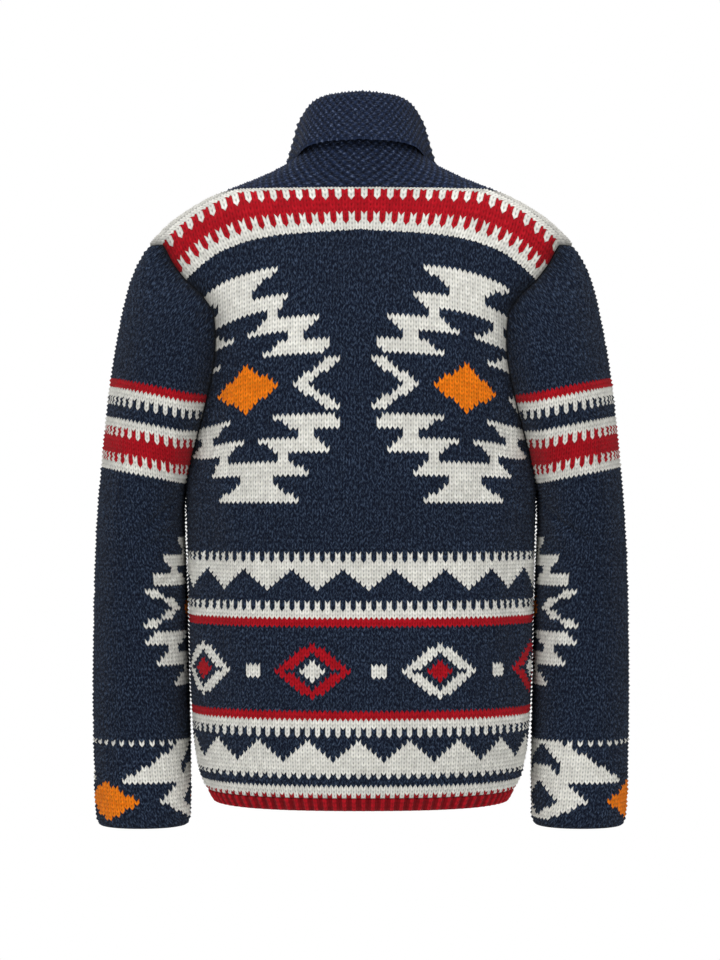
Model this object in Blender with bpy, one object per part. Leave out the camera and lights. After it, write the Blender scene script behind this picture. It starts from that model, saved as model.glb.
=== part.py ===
"""A chunky knitted cardigan with a shawl collar and an open front, filled out as if worn.

Metres, +Z up. The front faces -Y, the wearer's left side is at +X, and the origin is the middle
of the neck opening, level with the neck seam at the back. The body and each sleeve are skins
of level loops, read from the tables below. The knitted pieces are patches of those skins, with
the wall's thickness inside them. Neighbours share their seam's points, a small gap apart.
"""
import bpy
import numpy as np

WALL = 0.004            # thickness of the chunky knitting
SEAM_GAP = 0.0003       # between two pieces at a seam
NECK = 0.0              # height of the neck seam at the back
SHOULDER_END = -0.060   # height where the shoulder meets the sleeve
UNDERARM = -0.325
HEM_TOP = -0.650        # upper edge of the ribbed hem
HEM_BOTTOM = -0.664
CUFF = -0.6925
SHOULDER_SEAM = 0.92    # the seam's place between centre back and side, as a share of the way
YOKE_BACK_END = -0.099  # heights where the lower edges of the yokes meet the armholes
YOKE_FRONT_END = -0.112
YOKE_FRONT_NECK = -0.066    # height where the front yoke's lower edge meets the collar
BREAK = -0.330          # height where the collar's fold ends on the chest
FRONT_EDGE = 0.075      # from the centre front to the band's seam, below the break
BAND_WIDTH = 0.045
RIB_PITCH = 0.0104      # one knit and one purl stitch of the hem's ribbing
RIB_RELIEF = 0.0010
SHARPEST_MITRE = 0.6    # cosine between a wall's own normal and its mitre

# How many steps the pieces take along each seam.
NECK_STEPS = 8
SHOULDER_STEPS = 7
YOKE_STEPS = 3
ARMHOLE_STEPS = 8
SIDE_STEPS = 10
SLEEVE_STEPS = 18
STAND_STEPS = 5
FOLD_STEPS = 3
FALL_STEPS = 2


def table(columns, *rows):
    """A short table as a dictionary of its named columns."""
    return dict(zip(columns.split(), np.array(rows, float).T))


# The body's loops: half its width, its depth behind and before the side seam, where that seam
# lies, and how square the loop is (2 is an ellipse).
BODY = table(
    "height half_width back front side_y square",
    (-0.664, 0.1600, 0.114, 0.115, 0.000, 2.40),
    (-0.650, 0.1680, 0.118, 0.120, 0.000, 2.40),
    (-0.630, 0.1765, 0.121, 0.124, 0.000, 2.40),
    (-0.590, 0.1830, 0.123, 0.127, 0.000, 2.35),
    (-0.520, 0.1870, 0.122, 0.129, 0.000, 2.30),
    (-0.430, 0.1890, 0.119, 0.129, 0.000, 2.30),
    (-0.330, 0.1920, 0.121, 0.130, 0.000, 2.30),
    (-0.240, 0.1970, 0.123, 0.128, 0.002, 2.30),
    (-0.180, 0.2050, 0.117, 0.125, 0.007, 2.30),
    (-0.130, 0.2150, 0.103, 0.120, 0.017, 2.30),
    (-0.095, 0.2235, 0.086, 0.116, 0.028, 2.25),
    (-0.060, 0.2290, 0.064, 0.109, 0.041, 2.20),
    (-0.045, 0.2170, 0.056, 0.105, 0.045, 2.20),
    (-0.027, 0.1950, 0.047, 0.100, 0.050, 2.15),
    (-0.010, 0.1660, 0.037, 0.093, 0.054, 2.10),
    (0.000, 0.1430, 0.031, 0.086, 0.056, 2.00))

# The left sleeve's loops: their outer and inner sides in x, half their depth in y and its
# centre. The topmost loop only just breaks through the end of the shoulder.
SLEEVE = table(
    "height outer inner half_depth centre_y square",
    (-0.060, 0.2296, 0.2060, 0.042, 0.028, 2.30),
    (-0.067, 0.2350, 0.2000, 0.047, 0.027, 2.30),
    (-0.080, 0.2430, 0.1900, 0.054, 0.025, 2.30),
    (-0.099, 0.2510, 0.1690, 0.067, 0.021, 2.30),
    (-0.118, 0.2565, 0.1400, 0.080, 0.018, 2.30),
    (-0.137, 0.2610, 0.1250, 0.090, 0.014, 2.30),
    (-0.181, 0.2695, 0.1300, 0.101, 0.008, 2.30),
    (-0.222, 0.2755, 0.1450, 0.102, 0.005, 2.30),
    (-0.266, 0.2805, 0.1650, 0.096, 0.002, 2.30),
    (-0.305, 0.2845, 0.1840, 0.088, 0.000, 2.25),
    (-0.325, 0.2865, 0.1922, 0.085, 0.000, 2.20),
    (-0.350, 0.2885, 0.1942, 0.081, -0.001, 2.20),
    (-0.445, 0.2930, 0.1914, 0.071, -0.005, 2.15),
    (-0.555, 0.2945, 0.1894, 0.063, -0.010, 2.15),
    (-0.643, 0.2937, 0.1885, 0.058, -0.014, 2.15),
    (-0.680, 0.2920, 0.1890, 0.056, -0.015, 2.15),
    (-0.6925, 0.2890, 0.1915, 0.053, -0.016, 2.15))

# Soft troughs in the cloth, where it folds. Each is centred at a height and a distance round
# the loop, runs down with a slant, and fades out over its length and its width.
BODY_FOLDS = table(
    "height distance length width slant depth",
    (-0.400, 0.172, 0.130, 0.020, 0.10, 0.0050),
    (-0.455, -0.178, 0.110, 0.018, -0.08, 0.0045),
    (-0.300, 0.148, 0.050, 0.013, 0.55, 0.0030),
    (-0.290, -0.150, 0.055, 0.014, -0.50, 0.0035),
    (-0.560, 0.060, 0.060, 0.030, 0.15, 0.0020),
    (-0.540, -0.045, 0.070, 0.028, -0.10, 0.0020),
    (-0.360, 0.330, 0.110, 0.022, -0.20, 0.0045),
    (-0.390, -0.325, 0.120, 0.024, 0.18, 0.0040))
LEFT_SLEEVE_FOLDS = table(
    "height distance length width slant depth",
    (-0.360, 0.120, 0.035, 0.010, 1.60, 0.0040),
    (-0.395, 0.095, 0.030, 0.012, 2.00, 0.0035),
    (-0.425, 0.130, 0.025, 0.010, 1.80, 0.0030),
    (-0.375, -0.120, 0.032, 0.012, -1.80, 0.0040),
    (-0.420, -0.100, 0.030, 0.010, -2.10, 0.0035),
    (-0.590, 0.060, 0.040, 0.014, 1.20, 0.0020))
RIGHT_SLEEVE_FOLDS = table(
    "height distance length width slant depth",
    (-0.370, 0.115, 0.032, 0.011, 1.80, 0.0045),
    (-0.410, 0.100, 0.028, 0.010, 1.50, 0.0030),
    (-0.365, -0.115, 0.036, 0.012, -1.60, 0.0035),
    (-0.405, -0.125, 0.026, 0.010, -1.90, 0.0035),
    (-0.560, 0.075, 0.045, 0.015, 1.00, 0.0020))
SLEEVE_FOLDS = {"left": LEFT_SLEEVE_FOLDS, "right": RIGHT_SLEEVE_FOLDS}

# Lower edge of the back yoke: its height at distances from the centre back.
YOKE_EDGE = table("distance height", (0, -0.047), (0.090, -0.0532), (0.145, -0.0676))

# The collar's sections, from the centre back (0) over the shoulder (1) and the front yoke's
# lower edge (2) to the break (3). Each section leaves the neck seam, is drawn towards its
# middle point, rises to the roll and turns over by the fold's angle, and the fall hangs on.
COLLAR = table(
    "place mid_x mid_y mid_z roll_x roll_y roll_z fold fall",
    (0.0, 0.000, 0.079, 0.045, 0.000, 0.070, 0.095, 172, 0.045),
    (0.4, 0.037, 0.074, 0.043, 0.032, 0.066, 0.095, 172, 0.045),
    (0.7, 0.055, 0.060, 0.041, 0.049, 0.054, 0.093, 169, 0.046),
    (0.9, 0.060, 0.042, 0.039, 0.056, 0.037, 0.090, 168, 0.047),
    (1.0, 0.061, 0.029, 0.037, 0.058, 0.024, 0.086, 167, 0.048),
    (1.4, 0.063, -0.008, 0.021, 0.059, -0.013, 0.062, 166, 0.051),
    (2.0, 0.072, -0.058, -0.030, 0.059, -0.068, 0.000, 166, 0.055),
    (2.3, 0.083, -0.103, -0.140, 0.063, -0.113, -0.124, 165, 0.050),
    (2.5, 0.080, -0.116, -0.193, 0.059, -0.124, -0.184, 145, 0.040),
    (2.7, 0.075, -0.124, -0.246, 0.055, -0.130, -0.243, 95, 0.027),
    (2.85, 0.070, -0.128, -0.288, 0.051, -0.131, -0.287, 45, 0.016),
    (3.0, 0.062, -0.1285, -0.330, 0.049, -0.1300, -0.330, 5, 0.009))
FOLD_LENGTH = 0.0100    # of the stand's outer face, where the collar turns over
BREAK_STAND = 0.0260    # the stand's part of the band's width at the break

NAVY = (0.020, 0.034, 0.082)
RED = (0.46, 0.015, 0.030)


def through(x, xs, ys):
    """A smooth curve through the points (xs, ys) that never swings past them, read at x."""
    order = np.argsort(xs)
    xs, ys = xs[order], ys[order]
    step = np.diff(xs)
    slope = np.diff(ys) / step
    bend = np.r_[slope[0], slope[1:], slope[-1]]
    low, high = slope[:-1], slope[1:]
    share = (step[:-1] + 2 * step[1:]) / (3 * (step[:-1] + step[1:]))
    same_way = low * high > 0
    blend = np.where(same_way, share * high + (1 - share) * low, 1.0)
    bend[1:-1] = np.where(same_way, low * high / blend, 0.0)
    x = np.clip(x, xs[0], xs[-1])
    i = np.clip(np.searchsorted(xs, x) - 1, 0, len(step) - 1)
    t = (x - xs[i]) / step[i]
    rise = ys[i] * (1 + 2 * t) * (1 - t) ** 2 + ys[i + 1] * t * t * (3 - 2 * t)
    return rise + step[i] * (bend[i] * t * (1 - t) ** 2 - bend[i + 1] * t * t * (1 - t))


def read(rows, column, place):
    """A table's column at the given heights or places."""
    return through(place, rows.get("height", rows.get("place")), rows[column])


def power(wave, square):
    """A sine or cosine, made squarer or rounder for a superellipse."""
    return np.sign(wave) * np.abs(wave) ** (2 / square)


def unit(vectors):
    """Vectors scaled to a length of one."""
    return vectors / np.linalg.norm(vectors, axis=-1, keepdims=True)


def body_loop(height, turn):
    """x and y round the body, turning from the centre back towards the wearer's left."""
    row = {name: read(BODY, name, height) for name in BODY}
    depth = np.where(np.cos(turn) > 0, row["back"], row["front"])
    x = row["half_width"] * power(np.sin(turn), row["square"])
    return x, row["side_y"] + depth * power(np.cos(turn), row["square"])


def sleeve_loop(height, turn):
    """x and y round the left sleeve, turning from its outer side towards the back."""
    row = {name: read(SLEEVE, name, height) for name in SLEEVE}
    middle = (row["outer"] + row["inner"]) / 2
    x = middle + (row["outer"] - row["inner"]) / 2 * power(np.cos(turn), row["square"])
    return x, row["centre_y"] + row["half_depth"] * power(np.sin(turn), row["square"])


class Skin:
    """An outer surface of level loops, read at heights and at distances round the loop."""

    ROWS = 220
    COLUMNS = 160

    def __init__(self, loop, low, high):
        self.heights = np.linspace(low, high, self.ROWS)
        turn = np.linspace(0, np.pi, 6 * self.COLUMNS)
        self.reach = np.zeros(self.ROWS)
        self.grid = np.zeros((self.ROWS, 2 * self.COLUMNS + 1, 2))
        for row, height in enumerate(self.heights):
            for way in (-1, 1):
                line = np.stack(loop(height, way * turn), -1)
                run = np.r_[0, np.cumsum(np.linalg.norm(np.diff(line, axis=0), axis=1))]
                self.reach[row] = run[-1]
                even = np.linspace(0, run[-1], self.COLUMNS + 1)
                half = np.stack([np.interp(even, run, line[:, axis]) for axis in (0, 1)], -1)
                self.grid[row, self.COLUMNS + way * np.arange(self.COLUMNS + 1)] = half

    def half_round(self, height):
        """The distance from a loop's start to its far side."""
        return np.interp(height, self.heights, self.reach)

    def smooth(self, height, distance):
        """Points of the surface without its folds."""
        height = np.clip(height, self.heights[0], self.heights[-1])
        row = (height - self.heights[0]) / (self.heights[1] - self.heights[0])
        column = self.COLUMNS * (1 + np.clip(distance / self.half_round(height), -1, 1))
        i = np.clip(row.astype(int), 0, self.ROWS - 2)
        j = np.clip(column.astype(int), 0, 2 * self.COLUMNS - 1)
        up, along = (row - i)[..., None], (column - j)[..., None]
        low = self.grid[i, j] * (1 - along) + self.grid[i, j + 1] * along
        high = self.grid[i + 1, j] * (1 - along) + self.grid[i + 1, j + 1] * along
        return np.concatenate([low * (1 - up) + high * up, height[..., None]], -1)

    def outward(self, height, distance):
        """Unit normals of the smooth surface."""
        step = 0.002
        reach = self.half_round(height)
        beyond = distance + step
        beyond = np.where(beyond > reach, beyond - 2 * reach, beyond)
        before = distance - step
        before = np.where(before < -reach, before + 2 * reach, before)
        round_it = self.smooth(height, beyond) - self.smooth(height, before)
        up = self.smooth(height + step, distance) - self.smooth(height - step, distance)
        normal = unit(np.cross(up, round_it))
        middle = self.smooth(height, 0 * distance) + self.smooth(height, 0 * distance + 1)
        away = (self.smooth(height, distance) - middle / 2)[..., :2]
        return normal * np.sign(np.sum(normal[..., :2] * away, -1))[..., None]

    def at(self, height, distance, folds):
        """Points of the surface with a table of folds."""
        sink = 0
        for place, middle, length, width, slant, depth in zip(*folds.values()):
            along = height - place
            across = distance - middle - slant * along
            sink = sink + depth * np.exp(-(across / width) ** 2 - (along / length) ** 2)
        return self.smooth(height, distance) - sink[..., None] * self.outward(height, distance)


body = Skin(body_loop, HEM_BOTTOM, NECK)
sleeve = Skin(sleeve_loop, CUFF, SHOULDER_END)


def to_side(height):
    """The distance round the body from the centre back to the side seam."""
    height = np.asarray(height, float)
    sides = [np.argmax(body.grid[row, :, 0]) for row in range(body.ROWS)]
    share = np.array(sides) / body.COLUMNS - 1
    return np.interp(height, body.heights, share * body.reach)


def armhole_edges(height):
    """Distances round the body where it meets the sleeve, behind and in front."""
    distance = np.linspace(0, body.half_round(height), 2000)
    line = body.smooth(np.full_like(distance, height), distance)
    row = {name: read(SLEEVE, name, height) for name in SLEEVE}
    across = (line[:, 0] - (row["outer"] + row["inner"]) / 2) / (row["outer"] - row["inner"]) * 2
    deep = (line[:, 1] - row["centre_y"]) / row["half_depth"]
    inside = np.abs(across) ** row["square"] + np.abs(deep) ** row["square"] < 1
    return distance[inside][[0, -1]]


ARM_HEIGHTS = np.linspace(UNDERARM + 0.001, SHOULDER_END - 0.0002, 120)
ARM_EDGES = np.array([armhole_edges(height) for height in ARM_HEIGHTS])


def arm_edge(height, front):
    """Height and distance pairs down one side of the armhole."""
    height = np.asarray(height, float)
    heights = np.r_[UNDERARM, ARM_HEIGHTS]
    edge = np.r_[to_side(UNDERARM), ARM_EDGES[:, int(front)]]
    return np.stack([height, np.interp(height, heights, edge)], -1)


def evenly(curve, steps):
    """A curve on the body, as height and distance pairs, cut into steps of equal length."""
    points = body.smooth(curve[:, 0], curve[:, 1])
    run = np.r_[0, np.cumsum(np.linalg.norm(np.diff(points, axis=0), axis=1))]
    even = np.linspace(0, run[-1], steps + 1)
    return np.stack([np.interp(even, run, curve[:, axis]) for axis in (0, 1)], -1)


def joined(*curves):
    """Curves that follow each other, without the doubled points."""
    return np.concatenate([curves[0]] + [curve[1:] for curve in curves[1:]])


def pairs(height, distance):
    """Height and distance pairs from two arrays, or from an array and a number."""
    return np.stack(np.broadcast_arrays(height, distance), -1).astype(float)


def front_edge(height):
    """Distance from the centre back to the collar's seam on the front."""
    shoulder = SHOULDER_SEAM * to_side(NECK) - body.half_round(NECK)
    rows = table("height inset", (HEM_BOTTOM, FRONT_EDGE), (BREAK, FRONT_EDGE),
                 (-0.240, 0.091), (-0.150, 0.109), (YOKE_FRONT_NECK, 0.124),
                 (-0.025, 0.160), (NECK, -shoulder))
    return body.half_round(height) - read(rows, "inset", height)


def seams():
    """The body's seams on the wearer's left, each cut into its steps, from the bottom up."""
    fine = np.linspace(0, 1, 60)
    down_to = lambda low, high: low + (high - low) * fine
    side = down_to(HEM_TOP, UNDERARM)
    shoulder = down_to(SHOULDER_END, NECK)
    seam = {"side": evenly(pairs(side, to_side(side)), SIDE_STEPS)}
    seam["shoulder"] = evenly(pairs(shoulder, SHOULDER_SEAM * to_side(shoulder)), SHOULDER_STEPS)
    over = seam["shoulder"][0, 1]
    for name, front, yoke in (("back", False, YOKE_BACK_END), ("front", True, YOKE_FRONT_END)):
        armhole = arm_edge(down_to(UNDERARM, yoke), front)
        seam[name + "_armhole"] = evenly(armhole, ARMHOLE_STEPS)
        end = arm_edge(down_to(yoke, SHOULDER_END), front)
        top = pairs(SHOULDER_END, np.linspace(end[-1, 1], over, 20))
        seam[name + "_yoke_end"] = evenly(joined(end, top), YOKE_STEPS)
    corner = SHOULDER_SEAM * to_side(NECK)
    seam["neck"] = evenly(pairs(NECK, corner * fine), NECK_STEPS)
    end = seam["back_yoke_end"][0]
    distances = np.linspace(0, end[1], 60)
    edge = through(distances, np.r_[YOKE_EDGE["distance"], end[1]],
                   np.r_[YOKE_EDGE["height"], end[0]])
    seam["back_yoke_edge"] = evenly(pairs(edge, distances), NECK_STEPS + SHOULDER_STEPS)
    neck_side = down_to(YOKE_FRONT_NECK, NECK)
    seam["yoke_neck"] = evenly(pairs(neck_side, front_edge(neck_side)), YOKE_STEPS)
    chest = down_to(BREAK, YOKE_FRONT_NECK)
    seam["chest"] = evenly(pairs(chest, front_edge(chest)), ARMHOLE_STEPS)
    band = down_to(HEM_TOP, BREAK)
    seam["band"] = evenly(pairs(band, front_edge(band)), SIDE_STEPS)
    start, end = seam["front_yoke_end"][0], seam["chest"][-1]
    seam["front_yoke_edge"] = evenly(start + (end - start) * fine[:, None], SHOULDER_STEPS)
    return seam


SEAMS = seams()


def patch(bottom, top, left, right):
    """Height and distance pairs between four edges that meet at their corners."""
    up = np.linspace(0, 1, len(left))[:, None, None]
    along = np.linspace(0, 1, len(bottom))[None, :, None]
    sides = (1 - along) * left[:, None] + along * right[:, None]
    ends = (1 - up) * bottom[None] + up * top[None]
    low = (1 - along) * bottom[0] + along * bottom[-1]
    high = (1 - along) * top[0] + along * top[-1]
    return sides + ends - (1 - up) * low - up * high


def both_sides(curve):
    """A curve that ends or starts at the centre back, with its mirrored half."""
    return np.concatenate([curve[:0:-1] * (1, -1), curve])


def draw_in(outer, inner, closed):
    """Moves a wall's edges in by half the seam's gap, level with the cloth."""
    moves = np.zeros_like(outer)
    edges = [(0, 1), (-1, -2)]
    for edge, inside in edges:
        moves[edge] += edge_move(outer[edge], outer[inside], inner[edge], closed)
    if not closed:
        for edge, inside in edges:
            moves[:, edge] += edge_move(outer[:, edge], outer[:, inside], inner[:, edge], False)
    return outer + moves, inner + moves


def edge_move(edge, inside, below, closed):
    """A step of half the seam's gap from an edge, square to it and level with the wall."""
    along = np.roll(edge, -1, 0) - np.roll(edge, 1, 0) if closed else np.gradient(edge, axis=0)
    along = unit(along)
    normal = unit(edge - below)
    square = np.cross(along, normal)
    side = np.sign(np.sum(square * (inside - edge), -1))[:, None]
    return unit(square) * side * SEAM_GAP / 2


def wall(name, outer, inner, colour, closed=False):
    """A closed wall between two grids of points; a closed one runs round as a tube."""
    rows, columns = outer.shape[:2]
    place = np.arange(rows * columns).reshape(rows, columns)
    if closed:
        place = np.concatenate([place, place[:, :1]], 1)
    deep = place + rows * columns
    cells = np.stack([place[:-1, :-1], place[:-1, 1:], place[1:, 1:], place[1:, :-1]], -1)
    cells = cells.reshape(-1, 4)
    quads = [cells, cells[:, ::-1] + rows * columns]
    rims = [(place[0], deep[0], 1), (place[-1], deep[-1], -1)]
    if not closed:
        rims += [(place[:, 0], deep[:, 0], -1), (place[:, -1], deep[:, -1], 1)]
    for edge, under, way in rims:
        quads.append(np.stack([edge[:-1], under[:-1], under[1:], edge[1:]], -1)[:, ::way])
    points = np.concatenate([outer.reshape(-1, 3), inner.reshape(-1, 3)])
    mesh = bpy.data.meshes.new(name)
    mesh.from_pydata(points.tolist(), [], triangles(points, np.concatenate(quads)))
    mesh.update()
    if volume(mesh) < 0:
        mesh.flip_normals()
    mesh.materials.append(yarn(colour))
    mesh.shade_smooth()
    mesh.set_sharp_from_angle(angle=0.9)
    piece = bpy.data.objects.new(name, mesh)
    garment.objects.link(piece)
    return piece


def triangles(points, quads):
    """Quads split along their shorter diagonals, so that both sides of a seam split alike."""
    a, b, c, d = (points[quads[:, corner]] for corner in range(4))
    short = np.linalg.norm(a - c, axis=1) < np.linalg.norm(b - d, axis=1)
    order = np.where(short[:, None], quads, np.roll(quads, -1, 1))
    return order[:, [0, 1, 2]].tolist() + order[:, [0, 2, 3]].tolist()


def volume(mesh):
    """Six times a mesh's volume, negative where its faces point in."""
    mesh.calc_loop_triangles()
    corner = np.array([vertex.co for vertex in mesh.vertices])
    index = np.array([triangle.vertices for triangle in mesh.loop_triangles])
    a, b, c = corner[index[:, 0]], corner[index[:, 1]], corner[index[:, 2]]
    return np.sum(a * np.cross(b, c))


def yarn(colour):
    """The material of one colour of yarn."""
    name = "red wool" if colour is RED else "navy wool"
    if name in bpy.data.materials:
        return bpy.data.materials[name]
    material = bpy.data.materials.new(name)
    material.use_nodes = True
    shader = material.node_tree.nodes["Principled BSDF"]
    shader.inputs["Base Color"].default_value = (*colour, 1)
    shader.inputs["Roughness"].default_value = 0.9
    shader.inputs["Metallic"].default_value = 0
    material.diffuse_color = (*colour, 1)
    return material


def mirrored(grid):
    """Points on the wearer's right from those on the left."""
    return grid * (-1, 1, 1)


def sleeve_distance(points):
    """For points on the armhole, the nearest distances round the sleeve at their heights."""
    share = np.linspace(-1, 1, 721)[:, None]
    reach = sleeve.half_round(points[:, 2])
    rows = sleeve.smooth(np.broadcast_to(points[:, 2], (721, len(points))), share * reach)
    nearest = np.argmin(np.linalg.norm(rows - points, axis=-1), axis=0)
    return share[nearest, 0] * reach


def armhole_loop():
    """The armhole's seam points, from the underarm up the back and down the front."""
    back = joined(SEAMS["back_armhole"], SEAMS["back_yoke_end"])
    front = joined(SEAMS["front_armhole"], SEAMS["front_yoke_end"])
    return np.concatenate([back, front[-2:0:-1]])


def mitres():
    """Where body and sleeve meet, the way out between them, at each point of the armhole.

    Each is lengthened where the walls meet at a sharp angle, which keeps them thick there.
    """
    places = armhole_loop()
    points = body.smooth(places[:, 0], places[:, 1])
    of_body = body.outward(places[:, 0], places[:, 1])
    of_sleeve = sleeve.outward(places[:, 0], sleeve_distance(points))
    along = unit(np.roll(points, -1, 0) - np.roll(points, 1, 0))
    into_body = unit(np.cross(along, of_body))
    into_sleeve = -unit(np.cross(along, of_sleeve))
    middle = unit(of_body + of_sleeve + into_body + into_sleeve)
    return middle / np.maximum(np.sum(middle * of_body, -1), SHARPEST_MITRE)[:, None]


MITRES = mitres()


def cloth_on_body(places, mitre, rows, columns):
    """A patch's outer and inner points, mitred where its edge columns meet a sleeve."""
    outer = body.at(places[..., 0], places[..., 1], BODY_FOLDS)
    normal = body.outward(places[..., 0], places[..., 1])
    for column in columns:
        edge = places[rows, column]
        outer[rows, column] = body.smooth(edge[:, 0], edge[:, 1])
        normal[rows, column] = mitre * (np.sign(edge[-1, 1]), 1, 1)
    if np.allclose(places[0, :, 0], HEM_TOP):
        normal[0] = level(normal[0])
    return draw_in(outer, outer - WALL * normal, False)


def level(normal):
    """Normals laid level, so that a horizontal seam keeps its gap through the wall."""
    return unit(normal * (1, 1, 0))


def make_back():
    """The back panel, from the hem to the yoke."""
    side = joined(SEAMS["side"], SEAMS["back_armhole"])
    bottom = pairs(HEM_TOP, np.linspace(-side[0, 1], side[0, 1], 2 * (NECK_STEPS + SHOULDER_STEPS) + 1))
    places = patch(bottom, both_sides(SEAMS["back_yoke_edge"]), side * (1, -1), side)
    mitre = MITRES[:ARMHOLE_STEPS + 1]
    wall("back", *cloth_on_body(places, mitre, slice(SIDE_STEPS, None), (0, -1)), NAVY)


def make_back_yoke():
    """The strip across the shoulders, from one armhole to the other, below the collar."""
    end = SEAMS["back_yoke_end"]
    top = joined(SEAMS["neck"], SEAMS["shoulder"][::-1])
    places = patch(both_sides(SEAMS["back_yoke_edge"]), both_sides(top), end * (1, -1), end)
    mitre = MITRES[ARMHOLE_STEPS:ARMHOLE_STEPS + YOKE_STEPS + 1]
    wall("back_yoke", *cloth_on_body(places, mitre, slice(None), (0, -1)), RED)


def make_fronts():
    """Each front panel and the strip of yoke above it."""
    side = joined(SEAMS["side"], SEAMS["front_armhole"])
    edge = joined(SEAMS["band"], SEAMS["chest"])
    closer = np.linspace(0, 1, SHOULDER_STEPS + 1) ** 1.3
    bottom = pairs(HEM_TOP, side[0, 1] + (edge[0, 1] - side[0, 1]) * closer)
    panel = patch(bottom, SEAMS["front_yoke_edge"], side, edge)
    strip = patch(SEAMS["front_yoke_edge"], SEAMS["shoulder"],
                  SEAMS["front_yoke_end"], SEAMS["yoke_neck"])
    mitre = np.concatenate([MITRES[:1], MITRES[::-1]])[:ARMHOLE_STEPS + YOKE_STEPS + 1]
    for name, places, way, rows, colour in (
            ("front", panel, mitre[:ARMHOLE_STEPS + 1], slice(SIDE_STEPS, None), NAVY),
            ("yoke", strip, mitre[ARMHOLE_STEPS:], slice(None), RED)):
        wall("left_" + name, *cloth_on_body(places, way, rows, (0,)), colour)
        wall("right_" + name, *cloth_on_body(places * (1, -1), way, rows, (0,)), colour)


def make_sleeves():
    """Each sleeve, a tube from the armhole to the cuff."""
    armhole = armhole_loop()
    top = body.smooth(armhole[:, 0], armhole[:, 1])
    start = sleeve_distance(top) / sleeve.half_round(top[:, 2])
    start[0] = 1
    behind = np.linspace(1, 0, len(armhole) // 2 + 1)
    finish = np.concatenate([behind, -behind[-2:0:-1]])
    down = np.linspace(0, 1, SLEEVE_STEPS + 1)[:, None]
    height = top[:, 2] + (CUFF - top[:, 2]) * down ** 1.45
    share = start + (finish - start) * (1 - (1 - down) ** 3)
    distance = share * sleeve.half_round(height)
    normal = sleeve.outward(height, distance)
    normal[0] = MITRES
    for name, side in (("left", 1), ("right", -1)):
        outer = sleeve.at(height, distance, SLEEVE_FOLDS[name])
        outer[0] = top
        outer, inner = draw_in(outer, outer - WALL * normal, True)
        wall(name + "_sleeve", outer * (side, 1, 1), inner * (side, 1, 1), NAVY, closed=True)


def make_hem():
    """The ribbed hem of each panel: ribs raised outside, plain inside."""
    heights = np.array([HEM_BOTTOM, HEM_TOP])[:, None]
    side, edge = to_side(heights), front_edge(heights)
    for name, start, finish in (("back_hem", -side, side), ("left_hem", side, edge)):
        ribs = round(float(finish[1, 0] - start[1, 0]) / RIB_PITCH)
        distance = start + (finish - start) * np.linspace(0, 1, 2 * ribs + 1)
        height = np.broadcast_to(heights, distance.shape)
        wave = RIB_RELIEF * (1 - np.cos(np.pi * np.arange(2 * ribs + 1)))[:, None] / 2
        normal = level(body.outward(height, distance))
        plain = body.smooth(height, distance)
        outer, inner = draw_in(plain - wave * normal, plain - WALL * normal, False)
        wall(name, outer, inner, RED)
        if name == "left_hem":
            wall("right_hem", mirrored(outer), mirrored(inner), RED)


def collar_section(seam, out, mid, roll, fold, fall):
    """Points across the collar at one station, and the outward way at each."""
    t = np.linspace(0, 1, STAND_STEPS + 1)[:, None]
    stand = (1 - t) ** 3 * seam + 3 * t * (1 - t) * mid + t ** 3 * roll
    ahead = unit((1 - t) ** 2 * (mid - seam) + t * t * (roll - mid))
    side = unit(out - np.sum(out * ahead, -1)[:, None] * ahead)
    side[0] = out
    turn = np.radians(fold) * np.linspace(0, 1, FOLD_STEPS + 1)[1:, None]
    tip, away = ahead[-1], side[-1]
    radius = FOLD_LENGTH / turn[-1]
    centre = stand[-1] + away * radius
    bend = centre + radius * (np.sin(turn) * tip - np.cos(turn) * away)
    bend_out = np.cos(turn) * away - np.sin(turn) * tip
    last = np.cos(turn[-1]) * tip + np.sin(turn[-1]) * away
    hang = bend[-1] + fall * np.linspace(0, 1, FALL_STEPS + 1)[1:, None] * last
    hang_out = np.repeat(bend_out[-1:], FALL_STEPS, 0)
    return np.concatenate([stand, bend, hang]), np.concatenate([side, bend_out, hang_out])


def band_section(height, seam):
    """Points across the front band at one height, from its seam to its free edge."""
    fold_end = BREAK_STAND + FOLD_LENGTH
    across = joined(np.linspace(0, BREAK_STAND, STAND_STEPS + 1),
                    np.linspace(BREAK_STAND, fold_end, FOLD_STEPS + 1),
                    np.linspace(fold_end, BAND_WIDTH, FALL_STEPS + 1))
    heights = np.full_like(across, height)
    normal = body.outward(heights, seam + across)
    return body.smooth(heights, seam + across), level(normal)


def make_collar():
    """The shawl collar and the two front bands, knitted in one piece round the opening."""
    chest, band = SEAMS["chest"][::-1], SEAMS["band"][::-1]
    hem = pairs(HEM_BOTTOM, front_edge(np.array([HEM_BOTTOM])))
    seam = joined(SEAMS["neck"], SEAMS["yoke_neck"][::-1], chest, band)
    seam = np.concatenate([seam, hem])
    steps = (NECK_STEPS, YOKE_STEPS, ARMHOLE_STEPS, SIDE_STEPS + 1)
    place = joined(*[start + np.linspace(0, 1, count + 1) for start, count in enumerate(steps)])
    base = body.smooth(seam[:, 0], seam[:, 1])
    out = body.outward(seam[:, 0], seam[:, 1])
    rows = []
    for station in range(len(seam)):
        if place[station] < 3:
            read_at = {name: read(COLLAR, name, place[station]) for name in COLLAR}
            mid = np.array([read_at["mid_x"], read_at["mid_y"], read_at["mid_z"]])
            roll = np.array([read_at["roll_x"], read_at["roll_y"], read_at["roll_z"]])
            rows.append(collar_section(base[station], out[station], mid, roll,
                                       read_at["fold"], read_at["fall"]))
        else:
            rows.append(band_section(*seam[station]))
    outer = np.array([points for points, way in rows])
    normal = np.array([way for points, way in rows])
    outer = np.concatenate([mirrored(outer[:0:-1]), outer])
    normal = np.concatenate([mirrored(normal[:0:-1]), normal])
    wall("shawl_collar", *draw_in(outer, outer - WALL * normal, False), NAVY)


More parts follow.
